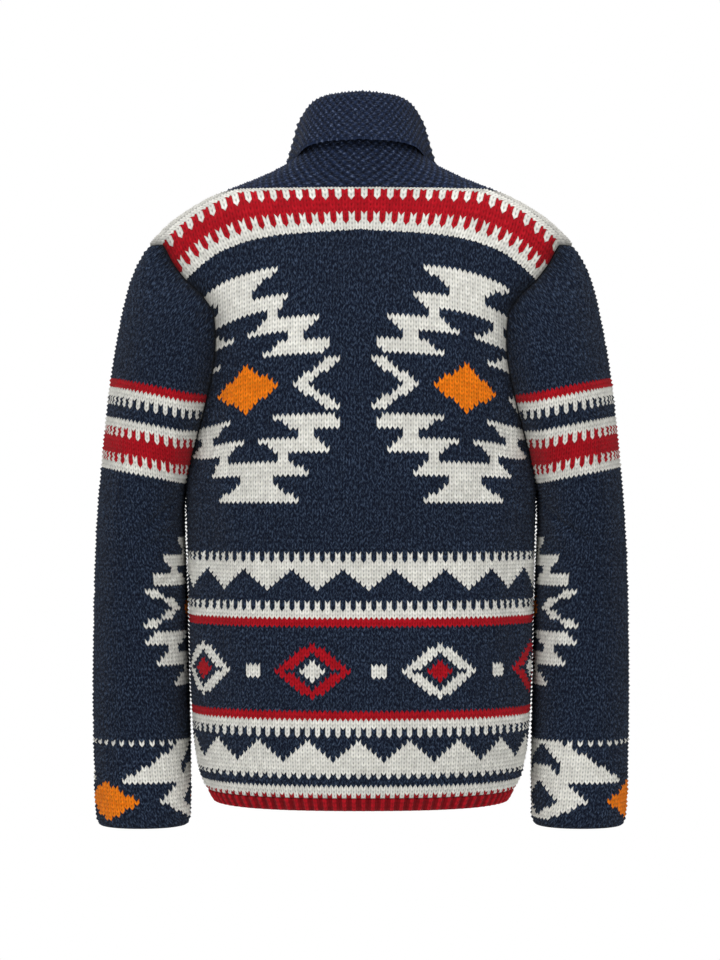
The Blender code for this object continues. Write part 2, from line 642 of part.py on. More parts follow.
for thing in list(bpy.data.objects):
    bpy.data.objects.remove(thing, do_unlink=True)
garment = bpy.data.collections.new("shawl collar cardigan")
bpy.context.scene.collection.children.link(garment)

make_back()
make_back_yoke()
make_fronts()
make_sleeves()
make_hem()
make_collar()
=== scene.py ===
# %% [markdown]
# # A shawl-collar cardigan in chunky colourwork, knitted again stitch by stitch
# The real cardigan is thick wool: a back and two fronts with bands of teeth, triangles and
# diamonds, a strip of bands across the shoulders, two sleeves, a ribbed hem and one long collar.
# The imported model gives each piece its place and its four-millimetre wall. It could be dressed
# with a bump map alone, but wool this thick shows every stitch, also in its outline, so each
# piece is made again as a grid of real stitches on the same surface.

import bpy
import numpy as np
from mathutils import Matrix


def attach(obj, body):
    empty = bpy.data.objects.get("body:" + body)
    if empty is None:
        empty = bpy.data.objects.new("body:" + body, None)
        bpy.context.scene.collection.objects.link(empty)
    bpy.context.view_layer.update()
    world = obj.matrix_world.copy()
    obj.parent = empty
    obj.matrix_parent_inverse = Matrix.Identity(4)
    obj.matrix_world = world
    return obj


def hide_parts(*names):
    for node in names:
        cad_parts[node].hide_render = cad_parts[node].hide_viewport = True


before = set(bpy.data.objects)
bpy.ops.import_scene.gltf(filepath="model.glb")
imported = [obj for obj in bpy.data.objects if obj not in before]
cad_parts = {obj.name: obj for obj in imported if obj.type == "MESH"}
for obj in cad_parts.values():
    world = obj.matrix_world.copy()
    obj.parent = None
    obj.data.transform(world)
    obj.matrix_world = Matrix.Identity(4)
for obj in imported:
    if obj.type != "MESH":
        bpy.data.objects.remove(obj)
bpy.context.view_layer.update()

# %% [markdown]
# ## The sizes of the garment
# A knitter works from a schematic: heights and widths in a few places, and smooth lines between
# them. The tables below are that schematic, in metres, with +Z up, the front facing -Y and the
# origin in the middle of the neck opening. The body and the sleeve are described by level
# loops, the collar by sections across it. They are the solids' values, so that the knitted
# pieces lie where the solids are. Only the collar's roll is rounder and its fall a little longer.

# %% Heights and widths
WALL = 0.004            # thickness of the knitting
NECK = 0.0              # height of the neck seam at the back
SHOULDER_END = -0.060
UNDERARM = -0.325
HEM_TOP = -0.650
HEM_BOTTOM = -0.664
CUFF = -0.6925
SHOULDER_SEAM = 0.92    # its place between centre back and side, as a share of the way
YOKE_BACK_END = -0.099
YOKE_FRONT_END = -0.112
YOKE_FRONT_NECK = -0.066
BREAK = -0.330          # where the collar's fold ends on the chest
FRONT_EDGE = 0.075
BAND_WIDTH = 0.045
SHARPEST_MITRE = 0.6


def table(columns, *rows):
    """A short table as a dictionary of its named columns."""
    return dict(zip(columns.split(), np.array(rows, float).T))


# %% The body's and the sleeve's loops
# The body's loops: half its width, its depth behind and before the side seam, where that seam
# lies, and how square the loop is (2 is an ellipse).
BODY = table(
    "height half_width back front side_y square",
    (-0.664, 0.1600, 0.114, 0.115, 0.000, 2.40),
    (-0.650, 0.1680, 0.118, 0.120, 0.000, 2.40),
    (-0.630, 0.1765, 0.121, 0.124, 0.000, 2.40),
    (-0.590, 0.1830, 0.123, 0.127, 0.000, 2.35),
    (-0.520, 0.1870, 0.122, 0.129, 0.000, 2.30),
    (-0.430, 0.1890, 0.119, 0.129, 0.000, 2.30),
    (-0.330, 0.1920, 0.121, 0.130, 0.000, 2.30),
    (-0.240, 0.1970, 0.123, 0.128, 0.002, 2.30),
    (-0.180, 0.2050, 0.117, 0.125, 0.007, 2.30),
    (-0.130, 0.2150, 0.103, 0.120, 0.017, 2.30),
    (-0.095, 0.2235, 0.086, 0.116, 0.028, 2.25),
    (-0.060, 0.2290, 0.064, 0.109, 0.041, 2.20),
    (-0.045, 0.2170, 0.056, 0.105, 0.045, 2.20),
    (-0.027, 0.1950, 0.047, 0.100, 0.050, 2.15),
    (-0.010, 0.1660, 0.037, 0.093, 0.054, 2.10),
    (0.000, 0.1430, 0.031, 0.086, 0.056, 2.00))

# The left sleeve's loops: their outer and inner sides in x, half their depth in y and its
# centre. The topmost loop only just breaks through the end of the shoulder.
SLEEVE = table(
    "height outer inner half_depth centre_y square",
    (-0.060, 0.2296, 0.2060, 0.042, 0.028, 2.30),
    (-0.067, 0.2350, 0.2000, 0.047, 0.027, 2.30),
    (-0.080, 0.2430, 0.1900, 0.054, 0.025, 2.30),
    (-0.099, 0.2510, 0.1690, 0.067, 0.021, 2.30),
    (-0.118, 0.2565, 0.1400, 0.080, 0.018, 2.30),
    (-0.137, 0.2610, 0.1250, 0.090, 0.014, 2.30),
    (-0.181, 0.2695, 0.1300, 0.101, 0.008, 2.30),
    (-0.222, 0.2755, 0.1450, 0.102, 0.005, 2.30),
    (-0.266, 0.2805, 0.1650, 0.096, 0.002, 2.30),
    (-0.305, 0.2845, 0.1840, 0.088, 0.000, 2.25),
    (-0.325, 0.2865, 0.1922, 0.085, 0.000, 2.20),
    (-0.350, 0.2885, 0.1942, 0.081, -0.001, 2.20),
    (-0.445, 0.2930, 0.1914, 0.071, -0.005, 2.15),
    (-0.555, 0.2945, 0.1894, 0.063, -0.010, 2.15),
    (-0.643, 0.2937, 0.1885, 0.058, -0.014, 2.15),
    (-0.680, 0.2920, 0.1890, 0.056, -0.015, 2.15),
    (-0.6925, 0.2890, 0.1915, 0.053, -0.016, 2.15))

# %% [markdown]
# ## Where the cloth folds
# Thick knitting doesn't crease like a shirt, it gives way in soft troughs: at the underarm, on
# the inside of the elbow and down the sides. Each trough is one row of a table: where its middle
# is, how long and wide it is, how it slants and how deep it goes. A simulation could find folds
# too, but a table puts them where the garment really has them.

# %% Soft troughs
# Each is centred at a height and a distance round the loop, runs down with a slant, and fades
# out over its length and its width.
BODY_FOLDS = table(
    "height distance length width slant depth",
    (-0.400, 0.172, 0.130, 0.020, 0.10, 0.0050),
    (-0.455, -0.178, 0.110, 0.018, -0.08, 0.0045),
    (-0.300, 0.148, 0.050, 0.013, 0.55, 0.0030),
    (-0.290, -0.150, 0.055, 0.014, -0.50, 0.0035),
    (-0.560, 0.060, 0.060, 0.030, 0.15, 0.0020),
    (-0.540, -0.045, 0.070, 0.028, -0.10, 0.0020),
    (-0.360, 0.330, 0.110, 0.022, -0.20, 0.0045),
    (-0.390, -0.325, 0.120, 0.024, 0.18, 0.0040))
LEFT_SLEEVE_FOLDS = table(
    "height distance length width slant depth",
    (-0.360, 0.120, 0.035, 0.010, 1.60, 0.0040),
    (-0.395, 0.095, 0.030, 0.012, 2.00, 0.0035),
    (-0.425, 0.130, 0.025, 0.010, 1.80, 0.0030),
    (-0.375, -0.120, 0.032, 0.012, -1.80, 0.0040),
    (-0.420, -0.100, 0.030, 0.010, -2.10, 0.0035),
    (-0.590, 0.060, 0.040, 0.014, 1.20, 0.0020))
RIGHT_SLEEVE_FOLDS = table(
    "height distance length width slant depth",
    (-0.370, 0.115, 0.032, 0.011, 1.80, 0.0045),
    (-0.410, 0.100, 0.028, 0.010, 1.50, 0.0030),
    (-0.365, -0.115, 0.036, 0.012, -1.60, 0.0035),
    (-0.405, -0.125, 0.026, 0.010, -1.90, 0.0035),
    (-0.560, 0.075, 0.045, 0.015, 1.00, 0.0020))
SLEEVE_FOLDS = {"left": LEFT_SLEEVE_FOLDS, "right": RIGHT_SLEEVE_FOLDS}

# %% The yoke's lower edge and the collar's sections
# Lower edge of the back yoke: its height at distances from the centre back.
YOKE_EDGE = table("distance height", (0, -0.047), (0.090, -0.0532), (0.145, -0.0676))

# The collar's sections, from the centre back (0) over the shoulder (1) and the front yoke's
# lower edge (2) to the break (3). Each section leaves the neck seam, is drawn towards its
# middle point, rises to the roll and turns over by the fold's angle, and the fall hangs on.
COLLAR = table(
    "place mid_x mid_y mid_z roll_x roll_y roll_z fold fall",
    (0.0, 0.000, 0.079, 0.045, 0.000, 0.070, 0.0965, 172, 0.049),
    (0.4, 0.037, 0.074, 0.043, 0.032, 0.066, 0.0935, 172, 0.048),
    (0.7, 0.055, 0.060, 0.041, 0.049, 0.054, 0.0885, 170, 0.048),
    (0.9, 0.060, 0.042, 0.039, 0.056, 0.037, 0.0830, 169, 0.048),
    (1.0, 0.061, 0.029, 0.037, 0.058, 0.024, 0.0795, 169, 0.048),
    (1.4, 0.063, -0.008, 0.021, 0.059, -0.013, 0.0590, 168, 0.051),
    (2.0, 0.072, -0.058, -0.030, 0.059, -0.068, 0.000, 166, 0.055),
    (2.3, 0.083, -0.103, -0.140, 0.063, -0.113, -0.124, 165, 0.050),
    (2.5, 0.080, -0.116, -0.193, 0.059, -0.124, -0.184, 145, 0.040),
    (2.7, 0.075, -0.124, -0.246, 0.055, -0.130, -0.243, 95, 0.027),
    (2.85, 0.070, -0.128, -0.288, 0.051, -0.131, -0.287, 45, 0.016),
    (3.0, 0.062, -0.1285, -0.330, 0.049, -0.1300, -0.330, 5, 0.009))

# %% [markdown]
# ## Surfaces made of level loops
# A loop is a superellipse, a circle drawn flatter and squarer. Its size is read from the table
# by a smooth curve that never swings past its points. Laid one above the other the loops make a
# skin, and a place on it is a height and a distance round the loop. That is how a knitter counts
# too: rows up and stitches across.

# %% Smooth curves through a table
def through(x, xs, ys):
    """A smooth curve through the points (xs, ys) that never swings past them, read at x."""
    order = np.argsort(xs)
    xs, ys = xs[order], ys[order]
    step = np.diff(xs)
    slope = np.diff(ys) / step
    bend = np.r_[slope[0], slope[1:], slope[-1]]
    low, high = slope[:-1], slope[1:]
    share = (step[:-1] + 2 * step[1:]) / (3 * (step[:-1] + step[1:]))
    same_way = low * high > 0
    blend = np.where(same_way, share * high + (1 - share) * low, 1.0)
    bend[1:-1] = np.where(same_way, low * high / blend, 0.0)
    x = np.clip(x, xs[0], xs[-1])
    i = np.clip(np.searchsorted(xs, x) - 1, 0, len(step) - 1)
    t = (x - xs[i]) / step[i]
    rise = ys[i] * (1 + 2 * t) * (1 - t) ** 2 + ys[i + 1] * t * t * (3 - 2 * t)
    return rise + step[i] * (bend[i] * t * (1 - t) ** 2 - bend[i + 1] * t * t * (1 - t))


def read(rows, column, place):
    """A table's column at the given heights or places."""
    return through(place, rows.get("height", rows.get("place")), rows[column])


def power(wave, square):
    """A sine or cosine, made squarer or rounder for a superellipse."""
    return np.sign(wave) * np.abs(wave) ** (2 / square)


def unit(vectors):
    """Vectors scaled to a length of one."""
    return vectors / np.linalg.norm(vectors, axis=-1, keepdims=True)


def smoothstep(x):
    """0 below 0, 1 above 1, and a soft S between: 3 x^2 - 2 x^3."""
    x = np.clip(x, 0, 1)
    return x * x * (3 - 2 * x)


# %% The two loops
def body_loop(height, turn):
    """x and y round the body, turning from the centre back towards the wearer's left."""
    row = {name: read(BODY, name, height) for name in BODY}
    depth = np.where(np.cos(turn) > 0, row["back"], row["front"])
    x = row["half_width"] * power(np.sin(turn), row["square"])
    return x, row["side_y"] + depth * power(np.cos(turn), row["square"])


def sleeve_loop(height, turn):
    """x and y round the left sleeve, turning from its outer side towards the back."""
    row = {name: read(SLEEVE, name, height) for name in SLEEVE}
    middle = (row["outer"] + row["inner"]) / 2
    x = middle + (row["outer"] - row["inner"]) / 2 * power(np.cos(turn), row["square"])
    return x, row["centre_y"] + row["half_depth"] * power(np.sin(turn), row["square"])


# %% A skin of loops
class Skin:
    """An outer surface of level loops, read at heights and at distances round the loop."""

    ROWS = 220
    COLUMNS = 160

    def __init__(self, loop, low, high):
        self.heights = np.linspace(low, high, self.ROWS)
        turn = np.linspace(0, np.pi, 6 * self.COLUMNS)
        self.reach = np.zeros(self.ROWS)
        self.side = np.zeros(self.ROWS)
        self.grid = np.zeros((self.ROWS, 2 * self.COLUMNS + 1, 2))
        for row, height in enumerate(self.heights):
            for way in (-1, 1):
                line = np.stack(loop(height, way * turn), -1)
                run = np.r_[0, np.cumsum(np.linalg.norm(np.diff(line, axis=0), axis=1))]
                self.reach[row] = run[-1]
                self.side[row] = np.interp(np.pi / 2, turn, run)
                even = np.linspace(0, run[-1], self.COLUMNS + 1)
                half = np.stack([np.interp(even, run, line[:, axis]) for axis in (0, 1)], -1)
                self.grid[row, self.COLUMNS + way * np.arange(self.COLUMNS + 1)] = half

    def half_round(self, height):
        """The distance from a loop's start to its far side."""
        return np.interp(height, self.heights, self.reach)

    def smooth(self, height, distance):
        """Points of the surface without its folds."""
        height = np.clip(height, self.heights[0], self.heights[-1])
        row = (height - self.heights[0]) / (self.heights[1] - self.heights[0])
        column = self.COLUMNS * (1 + np.clip(distance / self.half_round(height), -1, 1))
        i = np.clip(row.astype(int), 0, self.ROWS - 2)
        j = np.clip(column.astype(int), 0, 2 * self.COLUMNS - 1)
        up, along = (row - i)[..., None], (column - j)[..., None]
        low = self.grid[i, j] * (1 - along) + self.grid[i, j + 1] * along
        high = self.grid[i + 1, j] * (1 - along) + self.grid[i + 1, j + 1] * along
        return np.concatenate([low * (1 - up) + high * up, height[..., None]], -1)

    def outward(self, height, distance):
        """Unit normals of the smooth surface."""
        step = 0.002
        reach = self.half_round(height)
        beyond = distance + step
        beyond = np.where(beyond > reach, beyond - 2 * reach, beyond)
        before = distance - step
        before = np.where(before < -reach, before + 2 * reach, before)
        round_it = self.smooth(height, beyond) - self.smooth(height, before)
        up = self.smooth(height + step, distance) - self.smooth(height - step, distance)
        normal = unit(np.cross(up, round_it))
        middle = self.smooth(height, 0 * distance) + self.smooth(height, 0 * distance + 1)
        away = (self.smooth(height, distance) - middle / 2)[..., :2]
        return normal * np.sign(np.sum(normal[..., :2] * away, -1))[..., None]

    def cloth(self, height, distance, folds, keep=1.0):
        """Points with the folds sunk in, where keep is 1, and the unit normals of the skin.

        A fold's depth falls off like a bell, across it by its width and along it by its length.
        """
        sink = np.zeros(np.shape(height))
        for place, middle, length, width, slant, depth in zip(*folds.values()):
            along = height - place
            across = distance - middle - slant * along
            sink = sink + depth * np.exp(-(across / width) ** 2 - (along / length) ** 2)
        normal = self.outward(height, distance)
        return self.smooth(height, distance) - (keep * sink)[..., None] * normal, normal


body = Skin(body_loop, HEM_BOTTOM, NECK)
sleeve = Skin(sleeve_loop, CUFF, SHOULDER_END)
print("round the chest", round(2 * float(body.half_round(-0.3)), 3), "m")

# %% [markdown]
# ## The seams
# The pieces meet on a few lines: the side, the armhole, the yoke's edges, the shoulder and the
# line where the collar is sewn on. Neighbours are knitted up to the very same line, so nothing
# gapes. The armhole is where the body's skin dives into the sleeve's.

# %% Side, armhole and front edge
def to_side(height):
    """The distance round the body from the centre back to the side seam."""
    return np.interp(height, body.heights, body.side)


def armhole_edges(height):
    """Distances round the body where it meets the sleeve, behind and in front."""
    distance = np.linspace(0, body.half_round(height), 2000)
    line = body.smooth(np.full_like(distance, height), distance)
    row = {name: read(SLEEVE, name, height) for name in SLEEVE}
    across = (line[:, 0] - (row["outer"] + row["inner"]) / 2) / (row["outer"] - row["inner"]) * 2
    deep = (line[:, 1] - row["centre_y"]) / row["half_depth"]
    inside = np.abs(across) ** row["square"] + np.abs(deep) ** row["square"] < 1
    return distance[inside][[0, -1]]


ARM_HEIGHTS = np.linspace(UNDERARM + 0.001, SHOULDER_END - 0.0002, 160)
ARM_EDGES = np.array([armhole_edges(height) for height in ARM_HEIGHTS])


def arm_edge(height, front):
    """Height and distance pairs down one side of the armhole."""
    height = np.asarray(height, float)
    heights = np.r_[UNDERARM, ARM_HEIGHTS]
    edge = np.r_[to_side(UNDERARM), ARM_EDGES[:, int(front)]]
    return np.stack([height, np.interp(height, heights, edge)], -1)


def evenly(curve, steps):
    """A curve on the body, as height and distance pairs, cut into steps of equal length."""
    points = body.smooth(curve[:, 0], curve[:, 1])
    run = np.r_[0, np.cumsum(np.linalg.norm(np.diff(points, axis=0), axis=1))]
    even = np.linspace(0, run[-1], steps + 1)
    return np.stack([np.interp(even, run, curve[:, axis]) for axis in (0, 1)], -1)


def joined(*curves):
    """Curves that follow each other, without the doubled points."""
    return np.concatenate([curves[0]] + [curve[1:] for curve in curves[1:]])


def pairs(height, distance):
    """Height and distance pairs from two arrays, or from an array and a number."""
    return np.stack(np.broadcast_arrays(height, distance), -1).astype(float)


def front_edge(height):
    """Distance from the centre back to the collar's seam on the front."""
    shoulder = SHOULDER_SEAM * to_side(NECK) - body.half_round(NECK)
    rows = table("height inset", (HEM_BOTTOM, FRONT_EDGE), (BREAK, FRONT_EDGE),
                 (-0.240, 0.091), (-0.150, 0.109), (YOKE_FRONT_NECK, 0.124),
                 (-0.025, 0.160), (NECK, -shoulder))
    return body.half_round(height) - read(rows, "inset", height)


# %% All the seams of the wearer's left side
FINE = np.linspace(0, 1, 120)


def seams():
    """The body's seams, each cut into 120 equal steps, from the bottom up."""
    def between(low, high):
        return low + (high - low) * FINE

    side = between(HEM_TOP, UNDERARM)
    shoulder = between(SHOULDER_END, NECK)
    seam = {"side": pairs(side, to_side(side))}
    seam["shoulder"] = pairs(shoulder, SHOULDER_SEAM * to_side(shoulder))
    over = seam["shoulder"][0, 1]
    for name, front, yoke in (("back", False, YOKE_BACK_END), ("front", True, YOKE_FRONT_END)):
        seam[name + "_armhole"] = arm_edge(between(UNDERARM, yoke), front)
        end = arm_edge(between(yoke, SHOULDER_END), front)
        top = pairs(SHOULDER_END, np.linspace(end[-1, 1], over, 20))
        seam[name + "_yoke_end"] = joined(end, top)
    seam["neck"] = pairs(NECK, SHOULDER_SEAM * to_side(NECK) * FINE)
    end = seam["back_yoke_end"][0]
    distances = end[1] * FINE
    seam["back_yoke_edge"] = pairs(back_yoke_height(distances, end), distances)
    neck_side = between(YOKE_FRONT_NECK, NECK)
    seam["yoke_neck"] = pairs(neck_side, front_edge(neck_side))
    chest = between(BREAK, YOKE_FRONT_NECK)
    seam["chest"] = pairs(chest, front_edge(chest))
    band = between(HEM_TOP, BREAK)
    seam["band"] = pairs(band, front_edge(band))
    start, end = seam["front_yoke_end"][0], seam["chest"][-1]
    seam["front_yoke_edge"] = start + (end - start) * FINE[:, None]
    return {name: evenly(curve, 120) for name, curve in seam.items()}


def back_yoke_height(distance, end):
    """Height of the back yoke's lower edge at distances from the centre back."""
    return through(np.abs(distance), np.r_[YOKE_EDGE["distance"], end[1]],
                   np.r_[YOKE_EDGE["height"], end[0]])


SEAMS = seams()
BACK_END = SEAMS["back_yoke_end"][0]
FRONT_END = SEAMS["front_yoke_end"][0]
FRONT_TOP = SEAMS["chest"][-1]
print("back yoke meets the armhole at", BACK_END, "and the front yoke at", FRONT_END)

# %% [markdown]
# ## Mitred walls at the armhole
# Body and sleeve meet at an angle, like two boards of a frame. If each wall simply went
# straight in, the two would cross or gape on the inside. Each inner edge is put on the line that
# halves the angle, as a joiner cuts a mitre.

# %% The way into the armhole's seam
def sleeve_distance(points):
    """For points on the armhole, the nearest distances round the sleeve at their heights."""
    share = np.linspace(-1, 1, 1801)[:, None]
    reach = sleeve.half_round(points[:, 2])
    rows = sleeve.smooth(np.broadcast_to(points[:, 2], (1801, len(points))), share * reach)
    nearest = np.argmin(np.linalg.norm(rows - points, axis=-1), axis=0)
    return share[nearest, 0] * reach


def mitres():
    """The armhole's points, up the back and down the front, and the mitre at each."""
    back = joined(SEAMS["back_armhole"], SEAMS["back_yoke_end"])
    front = joined(SEAMS["front_armhole"], SEAMS["front_yoke_end"])
    places = np.concatenate([back, front[-2:0:-1]])
    points = body.smooth(places[:, 0], places[:, 1])
    of_body = body.outward(places[:, 0], places[:, 1])
    of_sleeve = sleeve.outward(places[:, 0], sleeve_distance(points))
    along = unit(np.roll(points, -1, 0) - np.roll(points, 1, 0))
    into_body = unit(np.cross(along, of_body))
    into_sleeve = -unit(np.cross(along, of_sleeve))
    middle = unit(of_body + of_sleeve + into_body + into_sleeve)
    return points, middle / np.maximum(np.sum(middle * of_body, -1), SHARPEST_MITRE)[:, None]


ARMHOLE, MITRES = mitres()
print("armhole", len(ARMHOLE), "points")

# %% [markdown]
# ## Charts for the colourwork
# The bands of teeth, triangles, diamonds and stepped medallions are old and common knitting
# motifs. A knitter draws them on squared paper. Here each is a rule on stitch and row
# numbers instead: stitches are counted from the centre back towards the wearer's left, rows from
# the hem or cuff up. A rule is easier to check than a drawn grid, and it repeats by itself.

# %% The yarns and the bands of the body
NAVY, ECRU, RED, ORANGE = 0, 1, 2, 3

# Bands: first and last row, and the colours of even and odd stitches. The front yokes' band has
# three times the rows of the back's, because it runs 15 cm down from the shoulder.
BODY_BANDS = ((0, 0, RED, ECRU), (1, 2, ECRU, ECRU), (5, 5, ECRU, NAVY), (6, 7, ECRU, ECRU),
              (15, 16, ECRU, NAVY), (17, 18, ECRU, ECRU), (19, 20, RED, RED), (41, 42, RED, RED),
              (43, 44, ECRU, ECRU), (45, 46, ECRU, NAVY), (55, 56, ECRU, ECRU),
              (57, 58, ECRU, NAVY))
YOKE_BANDS = ((0, 1, ECRU, ECRU), (2, 3, ECRU, RED), (4, 6, RED, RED), (7, 8, ECRU, RED),
              (9, 10, ECRU, ECRU))
FRONT_YOKE_BANDS = ((0, 4, ECRU, ECRU), (5, 7, ECRU, RED), (8, 24, RED, RED), (25, 27, ECRU, RED),
                    (28, 32, ECRU, ECRU))
SLEEVE_BANDS = ((20, 20, ECRU, NAVY), (86, 87, ECRU, ECRU), (88, 89, ECRU, RED),
                (90, 93, RED, RED), (94, 95, RED, ECRU), (96, 97, ECRU, ECRU),
                (101, 102, NAVY, ECRU), (103, 104, ECRU, ECRU), (105, 106, RED, RED))


def bands(row, column, chart):
    """The colours of plain and toothed bands: teeth are single stitches of two colours in turn."""
    code = np.full(np.broadcast(row, column).shape, NAVY)
    for first, last, even, odd in chart:
        inside = (row >= first) & (row <= last)
        code = np.where(inside, np.where(column % 2 == 0, even, odd), code)
    return code


def period(column, length, start):
    """How many stitches a column is from the nearest one of a repeat."""
    return np.abs((column - start + length // 2) % length - length // 2)


# %% Medallions, diamonds and triangles
# White parts of a medallion: for rows this far from its middle row, the nearest and furthest
# stitch from its middle stitch, and how many stitches more for each further row.
MEDALLION = table(
    "first last near near_more far far_more",
    (0, 5, 9.5, 1.2, 12.5, 1.2), (7, 9, -4.1, 1.3, 11.4, 0.7), (10, 11, 10, 0, 12.3, 0),
    (12, 14, -18.9, 1.7, 1, 1), (15, 16, 5.3, 0, 7.4, 0), (17, 19, 0, 0, -5, 0.8),
    (20, 20, 0, 0, 3.3, 0), (21, 25, 0, 0, -24, 1.3))


def medallion(rows_off, stitches_off):
    """White steps round an orange diamond, from distances to its middle row and stitch."""
    code = np.where(stitches_off / 6.7 + rows_off / 5.4 <= 1, ORANGE, NAVY)
    for first, last, near, near_more, far, far_more in zip(*MEDALLION.values()):
        white = (rows_off >= first) & (rows_off <= last)
        white = white & (stitches_off >= near + near_more * rows_off)
        white = white & (stitches_off <= far + far_more * rows_off)
        code = np.where(white, ECRU, code)
    return code


def body_chart(row, column):
    """Bands, two rows of triangles with their tips apart, and a field of diamonds between."""
    code = bands(row, column, BODY_BANDS)
    rising = (row >= 8) & (row <= 13) & (period(column, 10, 0) <= 13 - row)
    falling = (row >= 50) & (row <= 54) & (period(column, 10, 8) <= row - 50)
    code = np.where(rising | falling, ECRU, code)
    up = np.abs(row - 30)
    for start, ring, heart in ((9, RED, ECRU), (34, ECRU, RED)):
        along = period(column, 50, start)
        code = np.where(along / 7.6 + up / 6.8 <= 1, ring, code)
        code = np.where(along / 5 + up / 4.6 <= 1, NAVY, code)
        code = np.where(along / 2.7 + up / 2.7 <= 1, heart, code)
    dot = (np.abs((column - 21 + 12) % 25 - 12) <= 1) & (np.abs(row - 30) <= 1)
    return np.where(dot, ECRU, code)


def back_chart(row, column):
    """The body's chart with a medallion on each shoulder blade, whose steps lean a little."""
    code = body_chart(row, column)
    for middle, lean in ((22, 0.085), (-21, -0.02)):
        off = np.abs(column - middle - np.round(lean * (row - 96)))
        shape = medallion(np.abs(row - 96), off)
        code = np.where(shape > 0, shape, code)
    return code


def sleeve_chart(row, column, half_stitches, cuff_start):
    """Bands at the upper arm, a medallion on the inner line and small motifs at the cuff."""
    code = bands(row, column, SLEEVE_BANDS)
    rows_off = np.abs(row - 52)
    rows_off = np.where(rows_off <= 2, rows_off, rows_off + 1)
    off = np.floor(half_stitches - np.abs(column + 0.5)) + 3
    shape = np.where(rows_off < 20, medallion(rows_off, off), NAVY)
    code = np.where(shape > 0, shape, code)
    along = np.abs((column + 0.5 - cuff_start + 22) % 44 - 22)
    up = row - 6
    code = np.where(along / 7.3 + np.abs(up) / 4.9 <= 1, ORANGE, code)
    wing = (up >= 5) & (up <= 14) & (along >= 4 + 1.4 * (up - 5))
    wing = wing & (along <= 16.5 + np.maximum(up - 9, 0))
    arm = along - np.where(up > 0, 1, 1.6) * np.abs(up)
    chevron = (up >= -4) & (up <= 8) & (arm >= 11.3) & (arm <= 16.5)
    return np.where(chevron | wing, ECRU, code)


print("medallion", [int((medallion(np.abs(np.arange(-26, 27))[:, None],
                                   np.abs(np.arange(-18, 19))[None]) == yarn).sum())
                    for yarn in (ECRU, ORANGE)], "stitches of white and of orange")

# %% [markdown]
# ## From stitch numbers to places on the skin
# A stitch's distance from the centre back depends on its height, because the rows get narrower,
# and its height depends on its distance, because the rows dip towards the armhole. So both are
# worked out in turns until they settle, which takes a dozen rounds. Where a row runs past the
# side or the armhole, its last stitches are all put on the seam's own point. They shrink to
# nothing there and vanish when doubled points are merged, as decreases do.

# %% Settling heights and distances
def settle(stitch, row, across, up):
    """Height and distance of stitches in rows: each is read from the other, a dozen times."""
    distance = 0 * stitch
    height = up(row, distance)
    for _ in range(14):
        distance = across(stitch, height)
        height = up(row, distance)
    return height, distance


def side_line(heights, distances, up, pitch):
    """The seam point at each row line: a row number is corrected until its height fits."""
    row = (heights - up(0 * heights, distances)) / pitch
    for _ in range(60):
        row = row + (heights - up(row, distances)) / pitch
    row = np.maximum.accumulate(row)
    return lambda at: (np.interp(at, row, heights), np.interp(at, row, distances))


# %% Stitches of one piece
LEG_DROP = 0.8          # how far the legs of a stitch run down to its foot, in rows
LEG_ROOM = 0.005        # next to an edge the legs level out, over this width


def places(stitches, rows, across, up, low, high, pitch, fine=True):
    """Stitch and row numbers, heights, distances and room to the nearest edge, as grids.

    A fine grid has a point each quarter stitch and half row. Its row lines zigzag: they drop by
    a share of a row towards the middle of each stitch, which gives the legs of the V.
    """
    step = (0.25, 0.5) if fine else (2.0, 3.0)
    stitch = np.arange(stitches[0], stitches[1] + 0.01, step[0])
    line = np.arange(0, rows + 0.01, step[1])
    stitch, line = np.meshgrid(stitch, line)
    height, distance = settle(stitch, line, across, up)
    start = [side[:, None] for side in low(line[:, 0])]
    end = [side[:, None] for side in high(line[:, 0])]
    beside = np.maximum(np.minimum(distance - start[1], end[1] - distance), 0)
    if fine:
        leg = np.abs(2 * (stitch % 1) - 1) - 0.5
        calm = np.clip(np.minimum(line, rows - line), 0, 1) * np.clip(beside / LEG_ROOM, 0, 1)
        height, distance = settle(stitch, line + LEG_DROP * leg * calm, across, up)
    for (side_height, side_distance), past in (
            (start, distance <= start[1]), (end, distance >= end[1])):
        height = np.where(past, side_height, height)
        distance = np.where(past, side_distance, distance)
        beside = np.where(past, 0, beside)
    ends = np.minimum(line, rows - line) * pitch
    return stitch, line, height, distance, beside, ends


# %% The form of one stitch
STITCH_RELIEF = 0.0023
MEAN_CREST = 0.45       # of the stitch form, so that the relief lies evenly about the skin
SEAM_SINK = 0.0008      # how far the cloth sinks in at a seam
SEAM_ROOM = 0.0035      # over this width
UNEVEN_STITCH = 0.13    # share by which the stitches' relief varies
UNEVEN_CLOTH = 0.0002
rng = np.random.default_rng(11)


def stitch_height(stitch, row):
    """0 in the gaps, 1 on the legs: two ridges a stitch, each higher in the middle of its row."""
    across = np.interp(stitch % 1, (0, 0.25, 0.5, 0.75, 1), (0.0, 1.0, 0.42, 1.0, 0.0))
    along = np.interp(row % 1, (0, 0.5, 1), (0.35, 1.0, 0.35))
    return across * along


# Painted shade of the gaps, by half rows and quarter stitches: deepest where the legs of a V part.
GAP_PAINTED_SHADE = np.array([[0.5, 0.25, 1.0, 0.25], [0.75, 0.0, 0.3, 0.0]])


